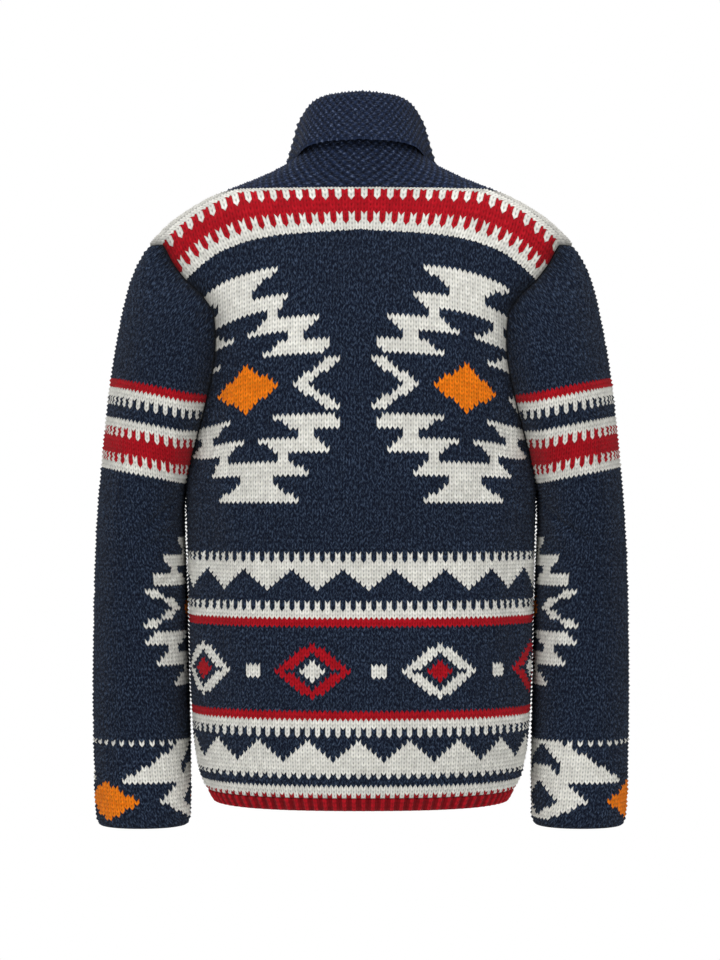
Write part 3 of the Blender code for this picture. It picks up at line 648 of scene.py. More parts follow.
def relief(stitch, row, beside, ends):
    """How far each point stands proud of the skin, uneven by stitch, and the painted shade of its
    gap, full at the edges.
    """
    crest = stitch_height(stitch, row)
    columns = (stitch - stitch.min()).astype(int)
    uneven = 1 + UNEVEN_STITCH * rng.standard_normal((int(row.max()) + 2, columns.max() + 2))
    lean = UNEVEN_CLOTH * rng.standard_normal(uneven.shape)
    cell = (row.astype(int), columns)
    near = smoothstep(np.minimum(beside, ends) / SEAM_ROOM)
    proud = STITCH_RELIEF * (crest * uneven[cell] - MEAN_CREST) + lean[cell]
    gap = GAP_PAINTED_SHADE[np.round(2 * row).astype(int) % 2, np.round(4 * stitch).astype(int) % 4]
    return near * proud - (1 - near) * SEAM_SINK, 1 - (1 - gap) * near


# %% [markdown]
# ## Making a shell of stitches
# Each piece is a closed wall: stitches outside, a plain wrong side inside and rims between.
# The inside is laid much coarser, one point for every two stitches and three rows, because it is
# hardly seen, and the rims fan out from its points to the fine ones. Everything is worked out as
# whole arrays: points, triangles, yarn numbers and the stitch numbers that the yarn's pattern
# follows.

# %% Triangles of grids and rims
def grid_triangles(points, place):
    """Each cell of a grid split along its shorter diagonal, first halves before second ones."""
    quads = np.stack([place[:-1, :-1], place[:-1, 1:], place[1:, 1:], place[1:, :-1]], -1)
    quads = quads.reshape(-1, 4)
    a, b, c, d = (points[quads[:, corner]] for corner in range(4))
    short = np.linalg.norm(a - c, axis=1) < np.linalg.norm(b - d, axis=1)
    order = np.where(short[:, None], quads, np.roll(quads, -1, 1))
    return np.concatenate([order[:, [0, 1, 2]], order[:, [0, 2, 3]]])


def rim(outer_edge, inner_edge, under, way):
    """Fans between a fine edge and a coarse one: each fine step goes to the nearest point."""
    middle = (under[:-1] + under[1:]) // 2
    owner = np.searchsorted(middle, np.arange(len(outer_edge) - 1), side="right")
    fans = np.stack([outer_edge[:-1], inner_edge[owner], outer_edge[1:]], -1)
    links = np.stack([outer_edge[middle], inner_edge[:-1], inner_edge[1:]], -1)
    return np.concatenate([fans, links])[:, ::way]


# %% Putting arrays into a mesh
# Painted shade on the plain wrong side.
WRONG_SIDE_PAINTED_SHADE = 0.35    # the plain wrong side's darkness
SHARPEST_SHADED = 1.4       # edges sharper than this angle, in radians, aren't shaded over


def make_piece(name, points, triangles, yarns, stitches, painted_shade, finishes):
    """A mesh object from arrays, with doubled points merged and collapsed triangles left out."""
    keys = np.round(points * 1e6).astype(np.int64)
    _, first, same = np.unique(keys, axis=0, return_index=True, return_inverse=True)
    corners = same.ravel()[triangles]
    kept = (corners != np.roll(corners, 1, axis=1)).all(axis=1)
    corners, triangles, yarns = corners[kept], triangles[kept], yarns[kept]
    a, b, c = (points[first][corners[:, corner]] for corner in range(3))
    if np.sum(a * np.cross(b, c)) < 0:
        corners, triangles = corners[:, ::-1], triangles[:, ::-1]
    mesh = bpy.data.meshes.new(name)
    mesh.from_pydata(points[first].tolist(), [], corners.tolist())
    for finish in finishes:
        mesh.materials.append(finish)
    mesh.polygons.foreach_set("material_index", yarns.astype(np.int32))
    uv = mesh.uv_layers.new(name="stitches")
    uv.data.foreach_set("uv", stitches[triangles].astype(np.float32).ravel())
    # Each point's painted shade, kept as an attribute that darkens its colour in the shader.
    depth = mesh.attributes.new("painted_shade", "FLOAT", "POINT")
    depth.data.foreach_set("value", painted_shade[first].astype(np.float32))
    mesh.update()
    mesh.shade_smooth()
    mesh.set_sharp_from_angle(angle=SHARPEST_SHADED)
    piece = bpy.data.objects.new(name, mesh)
    bpy.context.scene.collection.objects.link(piece)
    print(name, len(corners), "triangles,", round(1e6 * abs(np.sum(a * np.cross(b, c))) / 6),
          "ml of wool")
    return piece


def shell(name, outer, inner, fine, coarse, painted_shade, code, finishes, closed_rows=0):
    """A closed wall between a fine grid of stitches and a coarse grid inside it.

    fine and coarse hold each point's stitch and row numbers, code the yarn of each stitch.
    closed_rows says how many coarse rows from the bottom close to a tube.
    """
    (rows, columns), (deep_rows, deep_columns) = outer.shape[:2], inner.shape[:2]
    place = np.arange(rows * columns).reshape(rows, columns)
    deep = rows * columns + np.arange(deep_rows * deep_columns).reshape(deep_rows, deep_columns)
    points = np.concatenate([outer.reshape(-1, 3), inner.reshape(-1, 3)])
    step_row, step_column = (rows - 1) // (deep_rows - 1), (columns - 1) // (deep_columns - 1)
    under_row = step_row * np.arange(deep_rows)
    under_column = step_column * np.arange(deep_columns)
    parts = [grid_triangles(points, place), grid_triangles(points, deep)[:, ::-1],
             rim(place[0], deep[0], under_column, 1), rim(place[-1], deep[-1], under_column, -1)]
    for column, way in ((0, -1), (-1, 1)):
        parts.append(rim(place[step_row * closed_rows:, column], deep[closed_rows:, column],
                         under_row[closed_rows:] - step_row * closed_rows, way))
    cells = code[np.arange(rows - 1)[:, None] // 2, np.arange(columns - 1)[None] // 4].ravel()
    plain = sum(len(part) for part in parts[1:])
    yarns = np.concatenate([cells, cells, np.zeros(plain, int)])
    stitches = np.concatenate([fine.reshape(-1, 2), coarse.reshape(-1, 2)])
    # Painted shade of each point: the stitched side's from its gaps, the wrong side's an even
    # painted shade.
    painted_shade = np.concatenate([painted_shade.ravel(), np.full(inner.size // 3, WRONG_SIDE_PAINTED_SHADE)])
    return make_piece(name, points, np.concatenate(parts), yarns, stitches, painted_shade, finishes)


# %% [markdown]
# ## Wool
# The navy yarn is marled: dark and blue-grey plies twisted together, which gives short slanting
# flecks. The ecru, red and orange yarns are plain. Wool is matte, with a faint halo of fibres,
# so it gets a high roughness, little shine and a trace of sheen. The pattern follows the stitch
# numbers in the UV map, one unit for each stitch and row. The gaps between the legs, the seams
# and the pits get a painted shade from an attribute of each point, which darkens the colour
# because light hardly gets out of them. The collar's navy is painted lighter than the body's,
# a painted highlight for the light its bumps catch.

# %% Colours and nodes
def linear(code):
    """An sRGB hex colour as linear values: each over 0.04045 is ((x + 0.055) / 1.055) ^ 2.4."""
    srgb = np.array([int(code[start:start + 2], 16) for start in (0, 2, 4)]) / 255
    straight = np.where(srgb <= 0.04045, srgb / 12.92, ((srgb + 0.055) / 1.055) ** 2.4)
    return (*straight.tolist(), 1.0)


def node(tree, kind, inputs, **settings):
    """One node with its settings, and a value or a link for each of the named inputs."""
    made = tree.nodes.new(kind)
    for name, value in settings.items():
        setattr(made, name, value)
    for socket, value in inputs.items():
        if isinstance(value, bpy.types.NodeSocket):
            tree.links.new(value, made.inputs[socket])
        else:
            made.inputs[socket].default_value = value
    return made


def maths(tree, operation, *values):
    """The result of one sum."""
    return node(tree, "ShaderNodeMath", dict(enumerate(values)), operation=operation).outputs[0]


# %% Spun wool of one colour
def spun_wool(name, ground, fleck, low, high, gap):
    """Yarn of a ground colour with flecks where a noise runs from low to high.

    Its brightness is that of the stitch, from 0.88 to 1.1, times one less the painted shade, which
    is the gap's darkness times the point's shade attribute to the power of 1.6, times a broad
    unevenness of the whole cloth.
    """
    material = bpy.data.materials.new(name)
    material.use_nodes = True
    tree = material.node_tree
    shader = tree.nodes["Principled BSDF"]
    place = node(tree, "ShaderNodeTexCoord", {})
    uv = place.outputs["UV"]
    slanted = node(tree, "ShaderNodeMapping",
                   {"Vector": uv, "Rotation": (0, 0, 0.7), "Scale": (2.6, 1.5, 1)})
    noise = node(tree, "ShaderNodeTexNoise",
                 {"Vector": slanted.outputs[0], "Scale": 1.0, "Detail": 3.0, "Roughness": 0.6})
    share = node(tree, "ShaderNodeMapRange",
                 {"Value": noise.outputs[0], "From Min": low, "From Max": high})
    colour = node(tree, "ShaderNodeMix", {0: share.outputs[0], 6: linear(ground),
                                          7: linear(fleck)}, data_type="RGBA").outputs[2]
    stitch = node(tree, "ShaderNodeVectorMath", {0: uv}, operation="FLOOR")
    chance = node(tree, "ShaderNodeTexWhiteNoise", {"Vector": stitch.outputs[0]},
                  noise_dimensions="2D")
    tone = maths(tree, "MULTIPLY_ADD", chance.outputs[0], 0.22, 0.88)
    # Painted shade: the point's attribute, to the power of 1.6 and times gap, darkens the colour.
    painted_shade = node(tree, "ShaderNodeAttribute", {}, attribute_name="painted_shade")
    dark = maths(tree, "POWER", painted_shade.outputs["Fac"], 1.6)
    dark = maths(tree, "MULTIPLY_ADD", dark, -gap, 1.0)
    broad = node(tree, "ShaderNodeTexNoise",
                 {"Vector": place.outputs["Object"], "Scale": 9.0, "Detail": 1.0})
    broad = maths(tree, "MULTIPLY_ADD", broad.outputs[0], 0.3, 0.85)
    light = maths(tree, "MULTIPLY", maths(tree, "MULTIPLY", tone, dark), broad)
    shaded = node(tree, "ShaderNodeVectorMath", {0: colour, "Scale": light}, operation="SCALE")
    tree.links.new(shaded.outputs[0], shader.inputs["Base Color"])
    axes = node(tree, "ShaderNodeSeparateXYZ", {0: uv})
    leg = maths(tree, "PINGPONG", axes.outputs[0], 0.5)
    turns = maths(tree, "ADD", maths(tree, "MULTIPLY", leg, 44.0),
                  maths(tree, "MULTIPLY", axes.outputs[1], 12.6))
    plies = maths(tree, "SINE", turns)
    fibres = node(tree, "ShaderNodeTexNoise",
                  {"Vector": slanted.outputs[0], "Scale": 5.0, "Detail": 4.0})
    height = maths(tree, "MULTIPLY_ADD", plies, 0.35, fibres.outputs[0])
    bump = node(tree, "ShaderNodeBump", {"Strength": 0.55, "Distance": 0.0006,
                                         "Height": height})
    tree.links.new(bump.outputs[0], shader.inputs["Normal"])
    shader.inputs["Roughness"].default_value = 0.92
    shader.inputs["Metallic"].default_value = 0.0
    shader.inputs["Specular IOR Level"].default_value = 0.12
    shader.inputs["Sheen Weight"].default_value = 0.04
    shader.inputs["Sheen Roughness"].default_value = 0.5
    material.diffuse_color = linear(ground)
    return material


# The last number of each yarn is how strongly the painted shade darkens its gaps.
# Two plies twisted: the eye sees dark blue with short blue-grey flecks.
marled_navy = spun_wool("marled_navy_wool", "0C1629", "46566F", 0.47, 0.68, 0.8)
# The same yarn in moss stitch, painted lighter than the body's navy as a painted highlight for
# the light its bumps catch one by one, and with a deeper painted shade in its pits.
lit_moss_navy = spun_wool("marled_navy_moss_stitch_painted_lighter", "22304E", "7686A8", 0.52, 0.74, 0.97)
# Undyed wool, a warm off-white whose gaps get a painted shade that looks like small dark dots.
ecru = spun_wool("ecru_wool", "F4F3ED", "E6E4DA", 0.4, 0.7, 0.72)
# Dyed wool: strong and even, the gaps darkened by painted shade.
red = spun_wool("red_wool", "AE0A1B", "C01826", 0.4, 0.7, 0.72)
orange = spun_wool("orange_wool", "F67C0A", "FE921E", 0.4, 0.7, 0.66)
COLOURWORK = [marled_navy, ecru, red, orange]

# %% [markdown]
# ## Knitting a piece
# One function does it for every panel: it reads the skin at the settled places, raises the
# stitches, lays the wrong side inside and mitres it where a sleeve meets the body, and works out
# the flat size the piece would have off the body. Then the piece is tied to the root and its
# solid is hidden.

# %% Laying stitches on a skin
CREASE = 0.009          # how far the cloth draws in along the armhole
CREASE_WIDTH = 0.036
CREASE_TOP = -0.11      # above this height the cloth lies flat on the shoulder
CREASE_FADE = 0.05      # height over which it sets in and fades out
SEAM_SHADE = 0.75       # darkness in the crease's depth, where light hardly reaches
SHADE_WIDTH = 0.022
MITRE_REACH = 0.0105    # edge points this near to the armhole, crease and all, are mitred


def crease(points, normal, beside):
    """Points drawn in along the armhole, by CREASE at its seam and fading to nothing beside it."""
    drawn = points.copy()
    near = (beside < CREASE_WIDTH) & (points[..., 2] > UNDERARM) & (points[..., 2] < CREASE_TOP)
    for place in np.array_split(np.argwhere(near), 1 + near.sum() // 4000):
        place = tuple(place.T)
        side = np.where(points[place][:, :1] < 0, -1, 1) * (1, 0, 0) + (0, 1, 1)
        gap = np.linalg.norm((points[place] * side)[:, None] - ARMHOLE[None], axis=-1)
        share = smoothstep(gap.min(axis=1) / CREASE_WIDTH)[:, None]
        height = points[place][:, 2:]
        deep = smoothstep((height - UNDERARM) / CREASE_FADE)
        deep = deep * (1 - smoothstep((height - CREASE_TOP + CREASE_FADE) / CREASE_FADE))
        inwards = unit(MITRES[np.argmin(gap, axis=1)] * side * (1 - share) + normal[place] * share)
        drawn[place] = points[place] - CREASE * deep * (1 - share) * inwards
    return drawn


def on_skin(skin, folds, way, height, distance, beside):
    """Points and normals of the cloth, its folds fading out towards the armhole."""
    above = smoothstep((height - UNDERARM + 0.03) / 0.03)
    keep = 1 - (1 - smoothstep(beside / 0.02)) * above
    if skin is sleeve:
        points, normal = skin.cloth(height, distance, folds, keep)
        behind = distance > 0
        for front in (False, True):
            seam = (beside <= 0) & (height > UNDERARM) & (behind != front)
            edge = arm_edge(height[seam], front)
            points[seam] = body.smooth(edge[:, 0], edge[:, 1])
        points, normal = points * (way, 1, 1), normal * (way, 1, 1)
        return crease(points, normal, beside), normal
    points, normal = skin.cloth(height, way * distance, folds, keep)
    return crease(points, normal, beside), normal


def mitred(points, normal, beside, ends):
    """Normals, with the mitre in their place where an edge point lies on the armhole."""
    edge = (beside <= 0) | (ends <= 0)
    at = points[edge] * np.sign(points[edge][:, :1]) ** (1, 0, 0)
    gap = np.linalg.norm(at[:, None] - ARMHOLE[None], axis=-1)
    mitre = MITRES[np.argmin(gap, axis=1)] * np.sign(points[edge][:, :1]) ** (1, 0, 0)
    ways = normal.copy()
    ways[edge] = np.where(gap.min(axis=1)[:, None] < MITRE_REACH, mitre, normal[edge])
    return ways


def level(normal):
    """Normals laid level, for a rim that stays horizontal."""
    return unit(normal * (1, 1, 0))


def knit(name, skin, folds, way, fine, coarse, code, closed_rows=0):
    """The shell of a piece from the places of its stitches, and its flat width, length, area."""
    stitch, line, height, distance, beside, ends = fine
    points, normal = on_skin(skin, folds, way, height, distance, beside)
    proud, painted_shade = relief(stitch, line, beside, ends)
    # Painted shade deep in the armhole's crease, where light hardly reaches, added to the gaps'
    # painted shade.
    above = smoothstep((height - UNDERARM) / 0.04)
    shade = SEAM_SHADE * (1 - smoothstep(beside / SHADE_WIDTH)) * above
    painted_shade = 1 - (1 - painted_shade) * (1 - shade)
    outer = points + proud[..., None] * normal
    plain, plain_normal = on_skin(skin, folds, way, *coarse[2:5])
    ways = mitred(plain, plain_normal, coarse[4], coarse[5])
    ways[0] = level(ways[0]) if skin is body and np.allclose(coarse[2][0], HEM_TOP) else ways[0]
    inner = plain - WALL * ways
    if closed_rows:
        tube = np.arange(len(stitch)) <= 6 * closed_rows
        outer[tube, -1] = outer[tube, 0]
        inner[:closed_rows + 1, -1] = inner[:closed_rows + 1, 0]
    piece = shell(name, outer, inner, np.stack([stitch, line], -1),
                  np.stack(coarse[:2], -1), painted_shade, code, COLOURWORK, closed_rows)
    return piece, flat_size(plain)


def flat_size(points):
    """Width, length and area of a grid: its longest row, its longest column, its cells' sum."""
    width = np.linalg.norm(np.diff(points, axis=1), axis=-1).sum(1).max()
    length = np.linalg.norm(np.diff(points, axis=0), axis=-1).sum(0).max()
    one, two = points[1:, 1:] - points[:-1, :-1], points[1:, :-1] - points[:-1, 1:]
    area = np.linalg.norm(np.cross(one, two), axis=-1).sum() / 2
    return float(width), float(length), float(area)


def fit(piece, solid):
    """Ties a piece to the root and hides its solid."""
    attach(piece, "root")
    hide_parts(solid)


# %% [markdown]
# ## The back
# 92 stitches and 129 rows from the ribbing to the yoke. The rows are level at the waist and
# dip towards the armholes higher up, because the back is shaped to the shoulders' slope.

# %% Back
ROW = 0.0048            # about the height of a row
BACK_ROWS = 129
HALF_BACK = 46
YOKE_LAP = 0.0022       # how far the back reaches up behind the yoke's first stitches
# The knitting is a little tighter in the bands, so the rows' heights are a table too.
ROW_HEIGHTS = table("row height", (0, HEM_TOP), (31, -0.5132), (42, -0.4636), (58, -0.3947),
                    (70, -0.3415), (96.5, -0.2092), (123, -0.0761), (BACK_ROWS, -0.047))


def row_height(row):
    """Height of a row line at the centre back."""
    return through(row, ROW_HEIGHTS["row"], ROW_HEIGHTS["height"])


def back_across(stitch, height):
    """Distance of a stitch: even shares of the way to the side seam, as wide at the armhole."""
    return stitch * to_side(np.minimum(height, UNDERARM)) / HALF_BACK


def back_up(row, distance):
    """Height of a row: level at first, then turning parallel to the yoke's lower edge."""
    turned = smoothstep((row - 68) / 50)
    height = row_height(row) + turned * (back_yoke_height(distance, BACK_END)
                                         - row_height(BACK_ROWS))
    return height + YOKE_LAP * smoothstep((row - BACK_ROWS + 2) / 2)


def panel_side(top, front):
    """Heights and distances up the side seam and on up the armhole."""
    heights = np.linspace(HEM_TOP, top, 900)
    along = np.where(heights < UNDERARM, to_side(heights), arm_edge(heights, front)[:, 1])
    return heights, along


back_heights, back_distances = panel_side(YOKE_BACK_END, False)
back_left = side_line(back_heights, back_distances, back_up, ROW)
back_right = side_line(back_heights, -back_distances, back_up, ROW)
grids = [places((-HALF_BACK, HALF_BACK), BACK_ROWS, back_across, back_up, back_right,
                back_left, ROW, fine) for fine in (True, False)]
rows, stitches = np.arange(BACK_ROWS)[:, None], np.arange(-HALF_BACK, HALF_BACK)[None]
knitted_back, size = knit("knitted_back", body, BODY_FOLDS, 1, *grids,
                          back_chart(rows, stitches))
fit(knitted_back, "back")

# %% [markdown]
# ## The fronts
# The photo doesn't show them. Each is finished plainly with the same bands and the same plain
# navy above, its stitches counted on from the side seam so that the bands meet there.

# %% Fronts
FRONT_ROWS = 120
FRONT_STITCHES = 38


def front_across(stitch, height):
    """Distance of a stitch: even shares of the way from the side seam to the band."""
    low = np.minimum(height, UNDERARM)
    side, edge = to_side(low), body.half_round(low) - FRONT_EDGE
    return side + (stitch - HALF_BACK) * (edge - side) / FRONT_STITCHES


def front_up(row, distance):
    """Height of a row: level at first, then turning parallel to the front yoke's lower edge."""
    share = np.clip((distance - FRONT_END[1]) / (FRONT_TOP[1] - FRONT_END[1]), 0, 1)
    edge = FRONT_END[0] + share * (FRONT_TOP[0] - FRONT_END[0])
    turned = smoothstep((row - 68) / 50)
    return row_height(row) + turned * (edge - row_height(FRONT_ROWS))


front_side = side_line(*panel_side(YOKE_FRONT_END, True), front_up, ROW)
front_heights = np.linspace(HEM_TOP, YOKE_FRONT_NECK, 900)
front_band = side_line(front_heights, front_edge(front_heights), front_up, ROW)
grids = [places((HALF_BACK, HALF_BACK + FRONT_STITCHES), FRONT_ROWS, front_across, front_up,
                front_side, front_band, ROW, fine) for fine in (True, False)]
rows, stitches = np.arange(FRONT_ROWS)[:, None], HALF_BACK + np.arange(FRONT_STITCHES)[None]
for side, way, counted in (("left", 1, stitches), ("right", -1, -1 - stitches)):
    front, size = knit("knitted_" + side + "_front", body, BODY_FOLDS, way, *grids,
                       body_chart(rows, counted))
    fit(front, side + "_front")

# %% [markdown]
# ## The yokes
# A strip of eleven rows lies across the back of the shoulders from armhole to armhole, and one
# of thirty-three rows comes over each shoulder to the front. A strip with four curved edges is
# filled by blending: the sum of what the two ends and the two long edges give, less what the
# corners count twice.

# %% A strip between four edges
def strip_places(stitches, rows, edges, width, length, fine=True, lap=False):
    """Places of the stitches between four edges; with lap, the first row keeps its zigzag.

    width and length are the strip's rough size, for the room next to its edges.
    """
    step = (0.25, 0.5) if fine else (2.0, 5.5)
    stitch, line = np.meshgrid(np.arange(0, stitches + 0.01, step[0]),
                               np.arange(0, rows + 0.01, step[1]))
    leg = np.abs(2 * (stitch % 1) - 1) - 0.5
    beside = np.minimum(stitch, stitches - stitch) * width / stitches
    to_top = rows - line if lap else np.minimum(line, rows - line)
    calm = np.clip(to_top, 0, 1) * np.clip(beside / LEG_ROOM, 0, 1)
    shifted = line + LEG_DROP * leg * calm if fine else line
    along, up = stitch / stitches, shifted / rows

    def edge(curve, share):
        own = np.linspace(0, 1, len(curve))
        return np.stack([np.interp(share, own, curve[:, axis]) for axis in (0, 1)], -1)

    bottom, top, left, right = edges
    across, rise = along[..., None], up[..., None]
    place = (1 - across) * edge(left, up) + across * edge(right, up)
    place = place + (1 - rise) * edge(bottom, along) + rise * edge(top, along)
    low = (1 - across) * bottom[0] + across * bottom[-1]
    high = (1 - across) * top[0] + across * top[-1]
    place = place - (1 - rise) * low - rise * high
    ends = (to_top + 0.7 * lap) * length / rows
    return stitch, line, place[..., 0], place[..., 1], beside, ends


def both_sides(curve):
    """A curve that starts at the centre back, with its mirrored half before it."""
    return np.concatenate([curve[:0:-1] * (1, -1), curve])


# %% Back yoke and front yokes
end = SEAMS["back_yoke_end"]
over_shoulders = evenly(joined(SEAMS["neck"], SEAMS["shoulder"][::-1]), 240)
edges = (both_sides(SEAMS["back_yoke_edge"]), both_sides(over_shoulders), end * (1, -1), end)
grids = [strip_places(66, 11, edges, 0.45, 0.047, fine, lap=True) for fine in (True, False)]
chart = bands(np.arange(11)[:, None], np.arange(66)[None], YOKE_BANDS)
back_yoke, size = knit("knitted_back_yoke", body, BODY_FOLDS, 1, *grids, chart)
fit(back_yoke, "back_yoke")

edges = (SEAMS["front_yoke_edge"], SEAMS["shoulder"], SEAMS["front_yoke_end"],
         SEAMS["yoke_neck"])
grids = [strip_places(20, 33, edges, 0.12, 0.153, fine) for fine in (True, False)]
chart = bands(np.arange(33)[:, None], np.arange(20)[None], FRONT_YOKE_BANDS)
for side, way in (("left", 1), ("right", -1)):
    yoke, size = knit("knitted_" + side + "_yoke", body, BODY_FOLDS, way, *grids, chart)
    fit(yoke, side + "_yoke")

# %% [markdown]
# ## The sleeves
# Each sleeve is a tube of 138 rows. Round the forearm there are about 60 stitches, and more
# towards the underarm: the stitches past the inner line shrink away there, like the increases
# that a knitter makes. Above the underarm the tube opens and its sides follow the armhole.

# %% Rows and stitches of a sleeve
SLEEVE_ROWS = 138
SLEEVE_ROW = (SHOULDER_END - CUFF) / SLEEVE_ROWS
HALF_SLEEVE = 54


def sleeve_pitch(height):
    """Width of a stitch: a little looser at the cuff."""
    return np.interp(height, (CUFF, -0.25), (0.0059, 0.0051))


def sleeve_across(stitch, height):
    """Distance of a stitch round the sleeve, from its outer line."""
    return stitch * sleeve_pitch(height)


def sleeve_up(row, distance):
    """Height of a row: in the upper arm it slopes down by a fifth towards the body."""
    height = CUFF + SLEEVE_ROW * row
    slope = 0.2 * smoothstep((row - 55) / 35) * (1 - smoothstep((row - 118) / 20))
    inwards = read(SLEEVE, "outer", height) - sleeve.smooth(height, distance)[..., 0]
    return height - slope * inwards


def sleeve_side(front):
    """Heights and distances up the inner line and on up one side of the armhole."""
    heights = np.linspace(CUFF, SHOULDER_END, 900)
    seam = arm_edge(np.maximum(heights, UNDERARM), front)
    of_seam = sleeve_distance(body.smooth(seam[:, 0], seam[:, 1]))
    sign = -1 if front else 1
    distances = np.where(heights <= UNDERARM, sign * sleeve.half_round(heights),
                         sign * np.abs(of_seam))
    return side_line(heights, distances, sleeve_up, SLEEVE_ROW)


front_line, back_line = sleeve_side(True), sleeve_side(False)
grids = [places((-HALF_SLEEVE, HALF_SLEEVE), SLEEVE_ROWS, sleeve_across, sleeve_up, front_line,
                back_line, SLEEVE_ROW, fine) for fine in (True, False)]
coarse_heights = front_line(np.arange(0, SLEEVE_ROWS + 0.01, 3))[0]
closed = int(np.sum(coarse_heights <= UNDERARM)) - 1
print("sleeve closes over", 3 * closed, "rows")

# %% Sleeves
rows = np.arange(SLEEVE_ROWS)[:, None]
stitches = np.arange(-HALF_SLEEVE, HALF_SLEEVE)[None]
row_heights = CUFF + SLEEVE_ROW * (rows + 0.5)
half_stitches = sleeve.half_round(row_heights) / sleeve_pitch(row_heights)
for side, way, cuff_start in (("left", 1, 8), ("right", -1, 3)):
    chart = sleeve_chart(rows, stitches, half_stitches, cuff_start)
    arm, size = knit("knitted_" + side + "_sleeve", sleeve, SLEEVE_FOLDS[side], way, *grids,
                     chart, closed)
    fit(arm, side + "_sleeve")

# %% [markdown]
# ## The ribbed hem
# One knit and one purl stitch in turn, three rows tall, in red. The knit columns stand out and
# the purl columns sink back between them, which draws the edge in.

# %% Hem
RIB_PITCH = 0.0104      # width of a knit and a purl stitch
RIB_DEPTH = 0.0026      # how far the purl columns lie back
RIB_RELIEF = 0.0014     # of the legs on the knit columns
RIB_DROP = 0.0022       # how far those legs run down
HEM_ROWS = 3


def hem_places(start, finish, fine=True):
    """Places of the hem's stitches: even shares of the way from start to finish."""
    ribs = round(float(np.mean(finish(HEM_TOP) - start(HEM_TOP))) / RIB_PITCH)
    step = (0.25, 0.5) if fine else (2.0, 3.0)
    stitch, line = np.meshgrid(np.arange(0, 2 * ribs + 0.01, step[0]),
                               np.arange(0, HEM_ROWS + 0.01, step[1]))
    height = HEM_BOTTOM + (HEM_TOP - HEM_BOTTOM) * line / HEM_ROWS
    share = stitch / (2 * ribs)
    distance = start(height) + share * (finish(height) - start(height))
    width = np.minimum(stitch, 2 * ribs - stitch) * RIB_PITCH / 2
    ends = np.minimum(line, HEM_ROWS - line) * (HEM_TOP - HEM_BOTTOM) / HEM_ROWS
    return stitch, line, height, distance, width, ends


def ribbing(name, way, start, finish):
    """A shell whose knit columns stand out: a cosine over two stitches, with legs on it."""
    stitch, line, height, distance, beside, ends = hem_places(start, finish)
    plain, normal = on_skin(body, BODY_FOLDS, way, height, distance, beside)
    rib = (1 + np.sin(np.pi * stitch)) / 2
    calm = np.clip(np.minimum(line, HEM_ROWS - line), 0, 1)
    drop = RIB_DROP * (np.abs(2 * (stitch % 1) - 1) - 0.5) * calm * rib
    crest = np.interp(stitch % 1, (0, 0.25, 0.5, 0.75, 1), (0.2, 1, 0.5, 1, 0.2))
    crest = crest * np.interp(line % 1, (0, 0.5, 1), (0.45, 1.0, 0.45))
    # Painted shade: darkest in the sunken purl columns, lightest on the crests of the knit legs.
    painted_shade = 1 - rib * crest
    proud = 0.0008 - RIB_DEPTH * (1 - rib) + RIB_RELIEF * (crest - 0.6) * rib
    proud = proud - 0.0012 * (1 - smoothstep(ends / 0.002))
    outer = plain + proud[..., None] * normal + drop[..., None] * (0, 0, 1)
    coarse = hem_places(start, finish, False)
    plain, normal = on_skin(body, BODY_FOLDS, way, *coarse[2:5])
    inner = plain - WALL * level(normal)
    code = np.zeros((HEM_ROWS, int(stitch.max())), int)
    piece = shell(name, outer, inner, np.stack([stitch, line], -1),
                  np.stack(coarse[:2], -1), painted_shade, code, [red])
    return piece, flat_size(plain)


def minus_side(height):
    """The distance to the other side seam."""
    return -to_side(height)


for side, way, start, finish in (("back", 1, minus_side, to_side),
                                 ("left", 1, to_side, front_edge),
                                 ("right", -1, to_side, front_edge)):
    hem, size = ribbing("knitted_" + side + "_hem", way, start, finish)
    fit(hem, side + "_hem")

# %% [markdown]
# ## The shawl collar
# Collar and front bands are one long piece, knitted in moss stitch: knit and purl take turns
# along the row and from row to row, so each face is a chequer of small bumps. It stands round the
# neck, turns over in a roll and falls. A plain extruded tube would look like piping, so each
# section across it is drawn from its own row of the table: a curved stand, an arc and a straight
# fall. Rows of stitches run along it, counted from the free edge.

# %% Sections across the collar
ALONG = 290             # half stitches from the centre back to the hem
ACROSS_PITCH = 0.0043   # height of a row
FOLD_LENGTH = 0.0100    # of the stand's outer face, where the collar turns over
BREAK_STAND = 0.0260    # the stand's part of the band's width at the break
MOSS_RELIEF = 0.0017
UNEVEN_MOSS = 0.18      # share by which the bumps vary
SHALLOW = 0.55          # a pit's depth as a share of a bump's height


def seam_stations():
    """Points along the sewn edge from the centre back to the hem, and their place in the table."""
    hem = pairs(np.linspace(HEM_TOP, HEM_BOTTOM, 5), 0)
    hem[:, 1] = front_edge(hem[:, 0])
    curves = [SEAMS["neck"], SEAMS["yoke_neck"][::-1], SEAMS["chest"][::-1],
              SEAMS["band"][::-1], hem]
    marks = [np.linspace(0, 1, 121) + start for start in range(4)] + [np.linspace(4, 4.05, 5)]
    seam, mark = joined(*curves), joined(*marks)
    points = body.smooth(seam[:, 0], seam[:, 1])
    run = np.r_[0, np.cumsum(np.linalg.norm(np.diff(points, axis=0), axis=1))]
    even = np.linspace(0, run[-1], ALONG + 1)
    places = np.stack([np.interp(even, run, seam[:, axis]) for axis in (0, 1)], -1)
    return places, np.interp(even, run, mark), run[-1]


